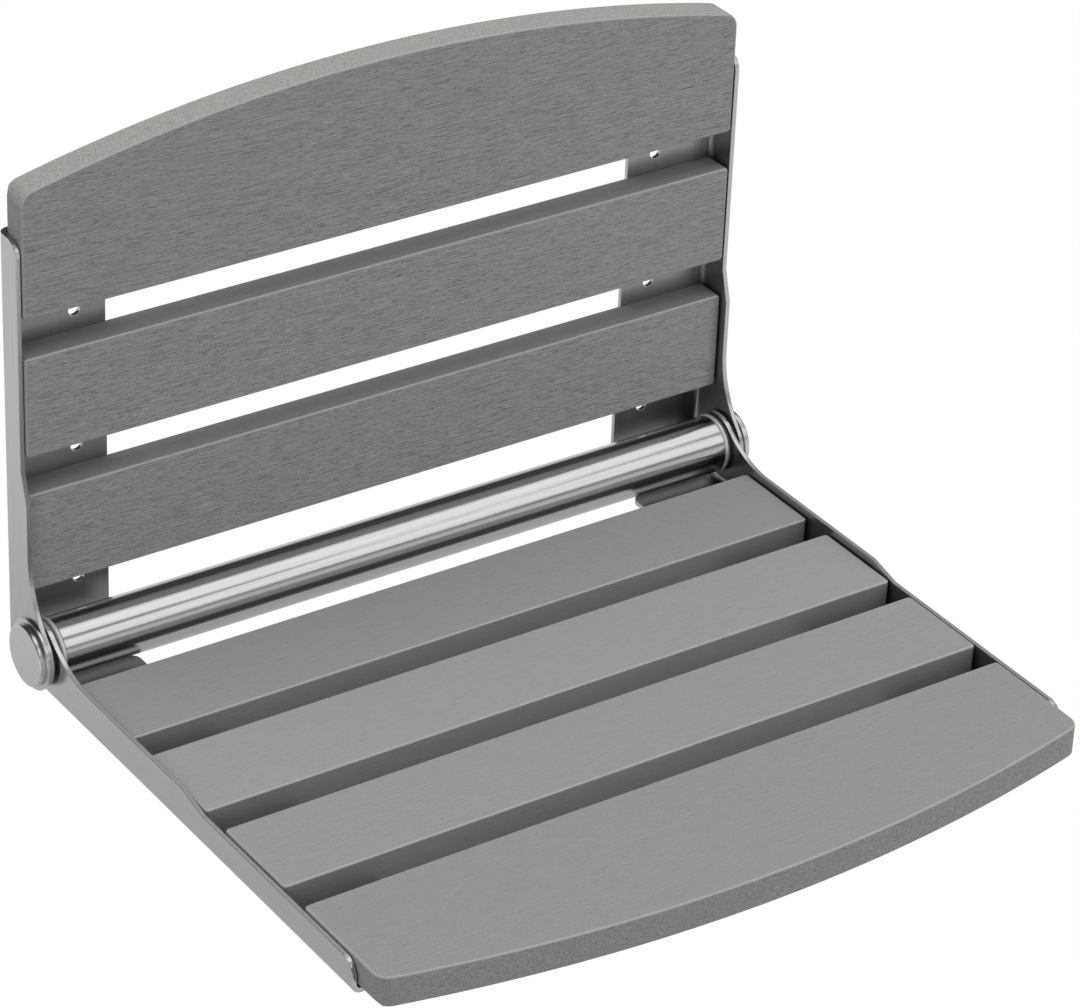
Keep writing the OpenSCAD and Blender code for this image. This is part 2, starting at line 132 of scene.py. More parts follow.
class Bench:
    """Blender's own modelling moves, each one started with nothing else selected."""

    @staticmethod
    def clear() -> None:
        """Leaves edit mode and deselects everything."""
        active = bpy.context.view_layer.objects.active
        if active is not None and active.mode != "OBJECT":
            bpy.ops.object.mode_set(mode="OBJECT")
        bpy.ops.object.select_all(action="DESELECT")

    @staticmethod
    def hold(*pieces: bpy.types.Object) -> None:
        """Selects some pieces and nothing else.

        Args:
            pieces: The pieces, of which the first becomes the active one.
        """
        Bench.clear()
        for piece in pieces:
            piece.select_set(True)
        bpy.context.view_layer.objects.active = pieces[0]

    @staticmethod
    def edit(piece: bpy.types.Object) -> None:
        """Opens one piece in edit mode with nothing in it selected.

        Args:
            piece: The piece.
        """
        Bench.hold(piece)
        bpy.ops.object.mode_set(mode="EDIT")
        bpy.ops.mesh.select_mode(type="VERT")
        bpy.ops.mesh.select_all(action="DESELECT")

    @staticmethod
    def discard(piece: bpy.types.Object) -> None:
        """Throws a piece away."""
        Bench.hold(piece)
        bpy.ops.object.delete()

    @staticmethod
    def seat_origin() -> bpy.types.Object:
        """Puts the place, turn and scale of the active object into its mesh.

        Returns:
            The object, which now sits at the origin.
        """
        bpy.ops.object.transform_apply(location=True, rotation=True, scale=True)
        return bpy.context.object

    @staticmethod
    def pick_corners(rule: Callable[[Vector], bool]) -> None:
        """Selects the corners of the open piece that fit a rule, with the edges and faces between.

        Args:
            rule: Says of a corner's place whether it is taken.
        """
        bpy.ops.mesh.select_mode(type="VERT")
        mesh = bmesh.from_edit_mesh(bpy.context.object.data)
        for corner in mesh.verts:
            corner.select_set(rule(corner.co))
        mesh.select_flush(True)
        mesh.select_flush(False)
        bmesh.update_edit_mesh(bpy.context.object.data)

    @staticmethod
    def pick_faces(rule: FaceRule) -> None:
        """Selects the faces of the open piece that fit a rule.

        Args:
            rule: Says of a face's centre and normal whether it is taken.
        """
        bpy.ops.mesh.select_mode(type="FACE")
        mesh = bmesh.from_edit_mesh(bpy.context.object.data)
        for face in mesh.faces:
            face.select_set(rule(face.calc_center_median(), face.normal))
        bmesh.update_edit_mesh(bpy.context.object.data)

    @staticmethod
    def finish_faces(piece: bpy.types.Object, part: BoardPart | SheetPart, rule: FaceRule) -> None:
        """Gives some faces of a piece another of its finishes.

        Args:
            piece: The piece.
            part: The part of it that the faces belong to.
            rule: Says of a face's centre and normal whether it is one of them.
        """
        Bench.edit(piece)
        Bench.pick_faces(rule)
        piece.active_material_index = part.value
        bpy.ops.object.material_slot_assign()
        bpy.ops.object.mode_set(mode="OBJECT")

    @staticmethod
    def pull(run: Vector) -> None:
        """Extrudes what is selected in the open piece."""
        bpy.ops.mesh.extrude_region_move(TRANSFORM_OT_translate={"value": run})

    @staticmethod
    def bevel(width: float, steps: int, affect: str = "EDGES") -> None:
        """Rounds what is selected in the open piece."""
        bpy.ops.mesh.bevel(offset=width, segments=steps, affect=affect, clamp_overlap=False)

    @staticmethod
    def apply(piece: bpy.types.Object, kind: str, settings: Mapping[str, object]) -> None:
        """Adds a modifier to a piece and applies it.

        Args:
            piece: The piece that it changes.
            kind: The modifier's type.
            settings: Its settings.
        """
        Bench.hold(piece)
        modifier = piece.modifiers.new(kind.title(), kind)
        for name, value in settings.items():
            setattr(modifier, name, value)
        bpy.ops.object.modifier_apply(modifier=modifier.name)

    @staticmethod
    def join(pieces: Sequence[bpy.types.Object], name: str) -> bpy.types.Object:
        """Joins pieces into one.

        Args:
            pieces: The pieces, each with its own mesh.
            name: The name of what they become.

        Returns:
            The joined piece.
        """
        Bench.hold(*pieces)
        if len(pieces) > 1:
            bpy.ops.object.join()
        bpy.context.object.name = name
        return bpy.context.object

    @staticmethod
    def cut(piece: bpy.types.Object, cutters: Sequence[bpy.types.Object]) -> None:
        """Takes cutters out of a piece and throws them away.

        Args:
            piece: The piece that is drilled or cut.
            cutters: Closed solids that pass through it.
        """
        tool = Bench.join(cutters, "cutter")
        settings = {"operation": "DIFFERENCE", "solver": "EXACT", "object": tool}
        Bench.apply(piece, "BOOLEAN", settings)
        Bench.discard(tool)

    @staticmethod
    def break_edges(
        piece: bpy.types.Object, width: float, sharper_than: float, steps: int = 2
    ) -> None:
        """Takes the sharpness off a piece's edges, as a file or tumbler does.

        Args:
            piece: The piece.
            width: How far the rounding reaches from each edge.
            sharper_than: The least angle of an edge that is broken, in degrees.
            steps: How many faces go round it.
        """
        Bench.edit(piece)
        bpy.ops.mesh.select_mode(type="EDGE")
        bpy.ops.mesh.edges_select_sharp(sharpness=math.radians(sharper_than))
        Bench.bevel(width, steps)

    @staticmethod
    def smooth(piece: bpy.types.Object, degrees: float = 35.0) -> bpy.types.Object:
        """Turns a piece's faces outwards and shades its curves smooth and its flats flat.

        Args:
            piece: The piece, closed.
            degrees: The greatest angle that is shaded smooth.

        Returns:
            The same piece.
        """
        Bench.edit(piece)
        bpy.ops.mesh.select_all(action="SELECT")
        bpy.ops.mesh.remove_doubles(threshold=WELD)
        bpy.ops.mesh.normals_make_consistent(inside=False)
        bpy.ops.object.mode_set(mode="OBJECT")
        bpy.ops.object.shade_smooth_by_angle(angle=math.radians(degrees))
        Bench.apply(piece, "WEIGHTED_NORMAL", {"keep_sharp": True})
        return piece


@dataclass(frozen=True)
class Easel:
    """A plane that outlines are drawn in: its origin, and what is right and up in it."""

    origin: Vector
    right: Vector
    up: Vector

    @property
    def facing(self) -> Vector:
        """The direction about which right turns towards up."""
        return self.right.cross(self.up)

    def at(self, point: Point) -> Vector:
        """The place in space of a point of the drawing."""
        return self.origin + self.right * point[0] + self.up * point[1]


def polar(centre: Point, radius: float, degrees: float) -> Point:
    """The point of a drawing at a radius and a heading from another one."""
    heading = math.radians(degrees)
    return (centre[0] + radius * math.cos(heading), centre[1] + radius * math.sin(heading))


def heading_of(start: Point, end: Point) -> float:
    """The heading from one point of a drawing to another, in degrees."""
    return math.degrees(math.atan2(end[1] - start[1], end[0] - start[0]))


class Pen:
    """Draws an outline in edit mode: pulls its last corner along lines and spins it round arcs."""

    def __init__(self, name: str, easel: Easel, start: Point) -> None:
        """Starts a piece as one corner.

        Args:
            name: The piece's name.
            easel: The plane that it is drawn in.
            start: The first corner.
        """
        Bench.clear()
        bpy.ops.mesh.primitive_plane_add(size=MM, location=easel.at(start))
        self.piece = Bench.seat_origin()
        self.piece.name = name
        self.easel = easel
        self.start = self.point = start
        bpy.ops.object.mode_set(mode="EDIT")
        bpy.ops.mesh.select_mode(type="VERT")
        bpy.ops.mesh.select_all(action="SELECT")
        bpy.ops.mesh.merge(type="CENTER")

    def line(self, *points: Point) -> "Pen":
        """Draws straight lines.

        Args:
            points: The points that are drawn to, in turn.

        Returns:
            The pen.
        """
        for point in points:
            step = self.easel.at(point) - self.easel.at(self.point)
            if step.length > TOUCH:
                Bench.pull(step)
                self.point = point
        return self

    def arc(self, centre: Point, degrees: float, steps: int) -> "Pen":
        """Draws an arc from the present point.

        Args:
            centre: The centre of the arc.
            degrees: How far it turns, anticlockwise where that is positive.
            steps: How many edges it has.

        Returns:
            The pen.
        """
        angle, middle = -math.radians(degrees), self.easel.at(centre)
        bpy.ops.mesh.spin(steps=steps, angle=angle, center=middle, axis=self.easel.facing)
        radius = math.dist(centre, self.point)
        self.point = polar(centre, radius, heading_of(centre, self.point) + degrees)
        return self

    def rounded(self, corners: Sequence[tuple[float, float, float]], steps: int) -> "Pen":
        """Draws a line through corners, each rounded by its own radius.

        Args:
            corners: The two coordinates and the radius of each. The last is only drawn up to.
            steps: How many edges each rounding has.

        Returns:
            The pen.
        """
        for (u, v, radius), (ahead_u, ahead_v, _) in zip(corners, corners[1:]):
            inwards = heading_of(self.point, (u, v))
            outwards = heading_of((u, v), (ahead_u, ahead_v))
            turn = (outwards - inwards + 180.0) % 360.0 - 180.0
            reach = radius * math.tan(math.radians(abs(turn)) / 2)
            entry = polar((u, v), reach, inwards + 180.0)
            self.line(entry)
            if radius > TOUCH:
                self.point = entry
                centre = polar(entry, radius, inwards + math.copysign(90.0, turn))
                self.arc(centre, turn, steps)
        return self.line(corners[-1][:2])

    def close(self, fill: bool = True) -> bpy.types.Object:
        """Draws back to the start and fills the outline.

        Args:
            fill: Whether a face is made, or only the line is kept.

        Returns:
            The piece, open in edit mode with all of it selected.
        """
        self.line(self.start)
        bpy.ops.mesh.select_all(action="SELECT")
        bpy.ops.mesh.remove_doubles(threshold=TOUCH)
        if fill:
            bpy.ops.mesh.edge_face_add()
        return self.piece


@dataclass(frozen=True)
class Lathe:
    """Turns sections round an axis. They are drawn in places along it and radii from it."""

    origin: Vector
    axis: Vector
    steps: int = 64

    def pen(self, name: str, start: Point) -> Pen:
        """A pen at the start of a section."""
        across = self.axis.orthogonal().normalized()
        return Pen(name, Easel(self.origin, self.axis, across), start)

    def turn(self, pen: Pen, closed: bool = True) -> bpy.types.Object:
        """Turns a finished section.

        Args:
            pen: The pen that drew it.
            closed: Whether it closes on itself, or begins and ends on the axis.

        Returns:
            The turned piece, in object mode.
        """
        if closed:
            pen.close(fill=False)
        bpy.ops.mesh.select_all(action="SELECT")
        bpy.ops.mesh.spin(steps=self.steps, angle=math.tau, center=self.origin, axis=self.axis)
        bpy.ops.mesh.select_all(action="SELECT")
        bpy.ops.mesh.remove_doubles(threshold=TOUCH)
        bpy.ops.mesh.normals_make_consistent(inside=False)
        bpy.ops.object.mode_set(mode="OBJECT")
        return pen.piece

    def ring(
        self, name: str, ends: Point, bore: float, radius: float, edge: float, steps: int = 3
    ) -> bpy.types.Object:
        """Turns a plain ring with rounded outer edges.

        Args:
            name: Its name.
            ends: Where it begins and ends along the axis.
            bore: Its inner radius.
            radius: Its outer radius.
            edge: The radius of its outer edges.
            steps: How many faces go round an edge.

        Returns:
            The ring.
        """
        start, end = ends
        pen = self.pen(name, (start, bore))
        pen.rounded([(start, radius, edge), (end, radius, edge), (end, bore, 0.0)], steps)
        return self.turn(pen)


# Finishes


class Wire:
    """An output of a shader graph. Arithmetic on it adds Math nodes."""

    def __init__(self, graph: "Graph", socket: bpy.types.NodeSocket) -> None:
        """Wraps one socket of a graph."""
        self.graph = graph
        self.socket = socket

    def _math(self, operation: str, first: "Wire | float", second: "Wire | float") -> "Wire":
        """A Math node on two values."""
        return self.graph.node("ShaderNodeMath", {"operation": operation}, {0: first, 1: second})

    def __add__(self, other: "Wire | float") -> "Wire":
        """Sum."""
        return self._math("ADD", self, other)

    def __radd__(self, other: float) -> "Wire":
        """Sum with a number first."""
        return self._math("ADD", other, self)

    def __sub__(self, other: "Wire | float") -> "Wire":
        """Difference."""
        return self._math("SUBTRACT", self, other)

    def __rsub__(self, other: float) -> "Wire":
        """Difference from a number."""
        return self._math("SUBTRACT", other, self)

    def __mul__(self, other: "Wire | float") -> "Wire":
        """Product."""
        return self._math("MULTIPLY", self, other)

    def __rmul__(self, other: float) -> "Wire":
        """Product with a number first."""
        return self._math("MULTIPLY", other, self)

    def __pow__(self, other: float) -> "Wire":
        """Power."""
        return self._math("POWER", self, other)

    def ramp(self, band: Band) -> "Wire":
        """A smooth rise from 0 at the first end of a band to 1 at the second."""
        inputs = {"Value": self, "From Min": band[0], "From Max": band[1]}
        return self.graph.node("ShaderNodeMapRange", {"interpolation_type": "SMOOTHSTEP"}, inputs)

    def choose(self, one: "Wire | float", zero: "Wire | float") -> "Wire":
        """One value where this wire is 1, and the other where it is 0."""
        return self * one + (1 - self) * zero


Source = Wire | float | Sequence[float]


class Graph:
    """A node tree that is written as expressions."""

    def __init__(self, tree: bpy.types.NodeTree) -> None:
        """Starts on an emptied tree."""
        tree.nodes.clear()
        self.tree = tree

    def node(
        self,
        kind: str,
        settings: Mapping[str, object] | None = None,
        inputs: Mapping[str | int, Source] | None = None,
        out: str | int = 0,
    ) -> Wire:
        """Adds a node.

        Args:
            kind: The node's type.
            settings: Its settings, which are set first.
            inputs: The values or links of its sockets, by name or number.
            out: The output that is used.

        Returns:
            That output.
        """
        made = self.tree.nodes.new(kind)
        for name, value in (settings or {}).items():
            setattr(made, name, value)
        for name, value in (inputs or {}).items():
            if isinstance(value, Wire):
                self.tree.links.new(value.socket, made.inputs[name])
            else:
                made.inputs[name].default_value = value
        return Wire(self, made.outputs[out])

    def end(self, kind: str, surface: Wire) -> None:
        """Ends the graph in an output node."""
        self.tree.links.new(surface.socket, self.tree.nodes.new(kind).inputs["Surface"])

    def place(self) -> Wire:
        """The place on the object, in metres."""
        return self.node("ShaderNodeTexCoord", out="Object")

    def part(self, vector: Wire, axis: int) -> Wire:
        """One coordinate of a place or direction."""
        return self.node("ShaderNodeSeparateXYZ", inputs={0: vector}, out=axis)

    def ray(self, kind: str) -> Wire:
        """1 for light rays of one kind, and 0 for others."""
        return self.node("ShaderNodeLightPath", out=f"Is {kind} Ray")

    def stretched(self, place: Wire, scale: Sequence[float]) -> Wire:
        """A place with each of its axes scaled."""
        return self.node("ShaderNodeMapping", inputs={"Vector": place, "Scale": scale})

    def noise(self, place: Wire, scale: float, detail: float, roughness: float = 0.5) -> Wire:
        """Noise about a half, at a scale per metre."""
        inputs = {"Vector": place, "Scale": scale, "Detail": detail, "Roughness": roughness}
        return self.node("ShaderNodeTexNoise", inputs=inputs)

    def fibres(self, place: Wire, long: float, wide: float) -> Wire:
        """Noise that is drawn out along X."""
        return self.noise(self.stretched(place, (1 / long, 1 / wide, 1 / wide)), 1.0, 1.0)

    def blend(self, share: Wire, first: Source, second: Source) -> Wire:
        """A mix of two colours."""
        inputs = {0: share, 6: first, 7: second}
        return self.node("ShaderNodeMix", {"data_type": "RGBA"}, inputs, out=2)

    def bump(self, height: Wire, depth: float) -> Wire:
        """A bumped normal from a height between 0 and 1 and the real depth of 1."""
        inputs = {"Strength": 1.0, "Distance": depth, "Height": height}
        return self.node("ShaderNodeBump", inputs=inputs, out="Normal")

    def shader(self, inputs: Mapping[str | int, Source]) -> Wire:
        """A Principled shader."""
        return self.node("ShaderNodeBsdfPrincipled", inputs=inputs)


def tinted(colour: Colour, factor: float) -> tuple[float, float, float, float]:
    """A colour made lighter or darker by a factor, with its alpha."""
    return (colour[0] * factor, colour[1] * factor, colour[2] * factor, 1.0)


@dataclass(frozen=True)
class Finish:
    """What all finishes share: a name, a base colour and a roughness."""

    name: str
    colour: Colour
    roughness: float

    def surface(self, graph: Graph) -> Wire:
        """The shader of the finish."""
        raise NotImplementedError

    def material(self) -> bpy.types.Material:
        """Makes the material of the finish when it is first asked for.

        Returns:
            The material.
        """
        made = bpy.data.materials.get(self.name)
        if made is None:
            made = bpy.data.materials.new(self.name)
            made.use_nodes = True
            graph = Graph(made.node_tree)
            graph.end("ShaderNodeOutputMaterial", self.surface(graph))
        return made


@dataclass(frozen=True)
class GrainedBoard(Finish):
    """The planed faces of composite board: grey, with a fine grain pressed into it along X."""

    contrast: float = 1.0
    sand: float = 0.26
    depth: float = 0.10 * MM
    refraction: float = 1.46

    # The size of each pattern.
    streak_long: float = 4.6 * MM
    streak_wide: float = 0.5 * MM
    hair_long: float = 16.0 * MM
    hair_wide: float = 0.36 * MM
    speck: float = 0.7 * MM
    cloud: float = 70.0 * MM
    cloud_squash: float = 0.4
    wander: float = 2.4 * MM
    wander_long: float = 60.0 * MM

    # Where in its noise each pattern begins and is full.
    pore_band: Band = (0.50, 0.68)
    ridge_band: Band = (0.48, 0.34)
    hair_band: Band = (0.35, 0.6)
    speck_band: Band = (0.40, 0.62)
    cloud_band: Band = (0.3, 0.7)

    # How much of the depth each pattern takes.
    pore_deep: float = 0.55
    ridge_high: float = 0.45
    hair_high: float = 0.5
    speck_high: float = 0.35

    # How much each pattern darkens the board, and how dark it gets. The lifts keep its mean grey.
    pore_dark: float = 0.50
    hair_dark: float = 0.45
    line_tone: float = 0.55
    cloud_dark: float = 0.15
    cloud_tone: float = 0.94
    grain_lift: float = 0.12
    sand_lift: float = 0.2
    pore_dull: float = 0.12

    def surface(self, graph: Graph) -> Wire:
        """Long pressed lines that wander a little, over a faint cloudiness.

        Args:
            graph: The graph that it is drawn in.

        Returns:
            The shader.
        """
        place = graph.place()
        moved = self._wandering(graph, place)
        grain = graph.fibres(moved, self.streak_long, self.streak_wide)
        hair = graph.fibres(moved, self.hair_long, self.hair_wide)
        speck = graph.noise(place, 1 / self.speck, 1.0)
        squashed = graph.stretched(place, (self.cloud_squash, 1.0, 1.0))
        cloud = graph.noise(squashed, 1 / self.cloud, 2.0)
        pores, ridges = grain.ramp(self.pore_band), grain.ramp(self.ridge_band)
        height = self.pore_deep + ridges * self.ridge_high - pores * self.pore_deep
        height = height + (hair - 0.5) * self.hair_high + (speck - 0.5) * self.speck_high
        hairs = (1 - hair.ramp(self.hair_band)) * self.hair_dark
        lines = (pores * self.pore_dark + hairs) * self.contrast
        dark = lines + speck.ramp(self.speck_band) * self.sand
        light = 1.0 + self.grain_lift * self.contrast + self.sand_lift * self.sand
        shade = graph.blend(dark, tinted(self.colour, light), tinted(self.colour, self.line_tone))
        clouds = cloud.ramp(self.cloud_band) * self.cloud_dark
        return graph.shader(
            {
                "Base Color": graph.blend(clouds, shade, tinted(self.colour, self.cloud_tone)),
                "Roughness": self.roughness + pores * self.pore_dull,
                "Normal": graph.bump(height, self.depth),
                "IOR": self.refraction,
            }
        )

    def _wandering(self, graph: Graph, place: Wire) -> Wire:
        """Moves a place a little across the grain, more or less from one spot to the next.

        Args:
            graph: The graph.
            place: The place on the board.

        Returns:
            The moved place.
        """
        inputs = {"Vector": place, "Scale": 1 / self.wander_long, "Detail": 1.0}
        drift = graph.node("ShaderNodeTexNoise", inputs=inputs, out="Color")
        inputs = {0: drift, 1: (0.5, 0.5, 0.5)}
        sideways = graph.node("ShaderNodeVectorMath", {"operation": "SUBTRACT"}, inputs)
        inputs = {0: sideways, 1: (0.0, self.wander, self.wander), 2: place}
        return graph.node("ShaderNodeVectorMath", {"operation": "MULTIPLY_ADD"}, inputs)


@dataclass(frozen=True)
class SawnBoard(Finish):
    """The cut ends and arched edges of composite board: speckled like fine sand."""

    depth: float = 0.10 * MM
    refraction: float = 1.46
    grit: float = 0.75 * MM
    grit_roughness: float = 0.7
    lump: float = 2.5 * MM
    lump_high: float = 0.4
    dark_band: Band = (0.36, 0.5)
    pale_band: Band = (0.52, 0.64)
    lump_band: Band = (0.35, 0.65)
    grit_share: float = 0.85
    lump_share: float = 0.25
    ground_tone: float = 1.02
    dark_tone: float = 0.62
    pale_tone: float = 1.5
    lump_tone: float = 0.93

    def surface(self, graph: Graph) -> Wire:
        """Fine pale and dark grit.

        Args:
            graph: The graph that it is drawn in.

        Returns:
            The shader.
        """
        place = graph.place()
        fine = graph.noise(place, 1 / self.grit, 3.0, self.grit_roughness)
        coarse = graph.noise(place, 1 / self.lump, 2.0)
        ground, dark, pale, lump = (
            tinted(self.colour, tone)
            for tone in (self.ground_tone, self.dark_tone, self.pale_tone, self.lump_tone)
        )
        colour = graph.blend((1 - fine.ramp(self.dark_band)) * self.grit_share, ground, dark)
        colour = graph.blend(fine.ramp(self.pale_band) * self.grit_share, colour, pale)
        colour = graph.blend(coarse.ramp(self.lump_band) * self.lump_share, colour, lump)
        return graph.shader(
            {
                "Base Color": colour,
                "Roughness": self.roughness,
                "Normal": graph.bump(fine + coarse * self.lump_high, self.depth),
                "IOR": self.refraction,
            }
        )


class Brush(Enum):
    """The way that steel is brushed: along an axis, by its number, or round the pivot."""

    ALONG_X = 0
    ALONG_Y = 1
    ALONG_Z = 2
    ROUND = 3


@dataclass(frozen=True)
class BrushedSteel(Finish):
    """Stainless steel with fine brush lines and a faint unevenness of polish."""

    brush: Brush = Brush.ALONG_X
    metal: float = 1.0
    line_wide: float = 0.5 * MM
    line_long: float = 45.0 * MM
    line_roughness: float = 0.6
    depth: float = 0.004 * MM
    smear: float = 24.0 * MM
    line_band: Band = (0.3, 0.7)
    dark_tone: float = 0.93
    pale_tone: float = 1.05
    even_share: float = 0.8
    line_share: float = 0.22
    smear_share: float = 0.22

    def _lines(self, graph: Graph, place: Wire) -> Wire:
        """Draws the brush lines.

        Args:
            graph: The graph.
            place: The place on the steel.

        Returns:
            Their noise, about a half.
        """
        if self.brush is Brush.ROUND:
            x, y, z = (graph.part(place, axis) for axis in range(3))
            radius = ((y - PIVOT.y) ** 2 + (z - PIVOT.z) ** 2) ** 0.5
            inputs = {"W": radius + x, "Scale": 1 / self.line_wide, "Detail": 3.0}
            return graph.node("ShaderNodeTexNoise", {"noise_dimensions": "1D"}, inputs)
        scale = [1 / self.line_wide] * 3
        scale[self.brush.value] = 1 / self.line_long
        return graph.noise(graph.stretched(place, scale), 1.0, 3.0, self.line_roughness)

    def surface(self, graph: Graph) -> Wire:
        """Metal whose lines and smears change its polish.

        Args:
            graph: The graph that it is drawn in.

        Returns:
            The shader.
        """
        place = graph.place()
        lines = self._lines(graph, place)
        smear = graph.noise(place, 1 / self.smear, 3.0)
        dark, pale = tinted(self.colour, self.dark_tone), tinted(self.colour, self.pale_tone)
        even = self.roughness * self.even_share
        streaky = lines * self.roughness * self.line_share
        patchy = smear * self.roughness * self.smear_share
        return graph.shader(
            {
                "Base Color": graph.blend(lines.ramp(self.line_band), dark, pale),
                "Metallic": self.metal,
                "Roughness": even + streaky + patchy,
                "Normal": graph.bump(lines, self.depth),
            }
        )


@dataclass(frozen=True)
class Nylon(Finish):
    """Dark nylon, faintly dull."""

    grit: float = 0.6 * MM
    depth: float = 0.02 * MM
    bloom_band: Band = (0.35, 0.65)
    dark_tone: float = 0.8
    pale_tone: float = 1.25
    bloom_dull: float = 0.1

    def surface(self, graph: Graph) -> Wire:
        """A plain dull plastic with the fine bloom of a moulding.

        Args:
            graph: The graph that it is drawn in.

        Returns:
            The shader.
        """
        bloom = graph.noise(graph.place(), 1 / self.grit, 2.0)
        dark, pale = tinted(self.colour, self.dark_tone), tinted(self.colour, self.pale_tone)
        return graph.shader(
            {
                "Base Color": graph.blend(bloom.ramp(self.bloom_band), dark, pale),
                "Roughness": self.roughness + bloom * self.bloom_dull,
                "Normal": graph.bump(bloom, self.depth),
            }
        )


BOARD_GREY = (0.290, 0.290, 0.281)
STEEL_GREY = (0.53, 0.53, 0.524)

BACK_FACE = GrainedBoard("board_face_back", BOARD_GREY, 0.44)
SEAT_FACE = GrainedBoard(
    "board_face_seat", BOARD_GREY, 0.44, contrast=0.28, sand=0.25, depth=0.05 * MM
)
BOARD_EDGE = SawnBoard("board_edge", (0.303, 0.300, 0.288), 0.62)
# The long sides of the slats are darker than their faces: painted shade, standing in for the shade
# inside the gaps between slats.
BOARD_SIDE_SHADED = GrainedBoard(
    "board_side", (0.225, 0.225, 0.218), 0.46, contrast=0.3, sand=0.2, depth=0.04 * MM
)
# The rounding about the show face is lighter than the face: a painted highlight where the rim
# catches the light.
BOARD_RIM_HIGHLIGHT = GrainedBoard(
    "board_rim_painted_highlight", (0.345, 0.345, 0.336), 0.38, contrast=0.2, sand=0.1, depth=0.03 * MM
)
WALL_SHEET = BrushedSteel("steel_sheet_wall", (0.492, 0.492, 0.487), 0.25, Brush.ALONG_Z)
SEAT_SHEET = BrushedSteel("steel_sheet_seat", (0.545, 0.545, 0.54), 0.25, Brush.ALONG_Y)
# Inside the fold the steel is darker, which is painted shade, and rougher.
WALL_INSIDE_SHADED = BrushedSteel("steel_wall_inside", (0.415, 0.415, 0.41), 0.36, Brush.ALONG_Z)
SEAT_INSIDE_SHADED = BrushedSteel("steel_seat_inside", (0.34, 0.34, 0.336), 0.30, Brush.ALONG_Y)
SHEET_RIM = BrushedSteel("steel_sheet_rim", (0.42, 0.42, 0.415), 0.30, metal=0.45)
# The plug rings are lighter than the tube and half diffuse: a painted highlight that keeps the bead
# bright.
RING_STEEL_HIGHLIT = BrushedSteel("steel_ring_painted_highlight", (0.74, 0.74, 0.735), 0.30, Brush.ROUND, metal=0.55)
TUBE_STEEL = BrushedSteel("steel_tube", STEEL_GREY, 0.17, depth=0.003 * MM)
TURNED_STEEL = BrushedSteel(
    "steel_turned", (0.60, 0.60, 0.594), 0.26, Brush.ROUND, line_wide=0.35 * MM, depth=0.0015 * MM
)
SCREW_STEEL = BrushedSteel("steel_screw", STEEL_GREY, 0.32, Brush.ALONG_Z)
DARK_NYLON = Nylon("nylon_dark", (0.085, 0.085, 0.086), 0.40)


class Part(Protocol):
    """A sub-assembly that builds its own pieces."""

    def build(self) -> list[bpy.types.Object]:
        """Builds and dresses the pieces."""


def settle(
    piece: bpy.types.Object, node: str, body: Body, slot: Slot, *finishes: Finish
) -> bpy.types.Object:
    """Lets a finished piece stand for a CAD node.

    Args:
        piece: The piece, in place.
        node: The node that it stands for.
        body: The body that it rides on.
        slot: The record's slot for its finish; not used.
        finishes: Its finishes, in the order of its materials.

    Returns:
        The same piece.
    """
    for finish in finishes:
        piece.data.materials.append(finish.material())
    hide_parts(node)
    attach(piece, body.value)
    return piece


def report(piece: bpy.types.Object) -> None:
    """Logs a piece's name, its faces and its size.

    Args:
        piece: The finished piece.
    """
    corners = [corner.co for corner in piece.data.vertices]
    low, high = (Vector(map(pick, zip(*corners))) for pick in (min, max))
    size = ", ".join(f"{length / MM:.1f}" for length in high - low)
    log.info("%s: %d faces, %s mm", piece.name, len(piece.data.polygons), size)


# Slats


@dataclass(frozen=True)
class Slat:
    """One slat: its node, a factor that makes its board lighter or darker as painted light and
    shade, and the radius of its arch where it has one.
    """

    node: str
    tone: float = 1.0
    arch: float | None = None


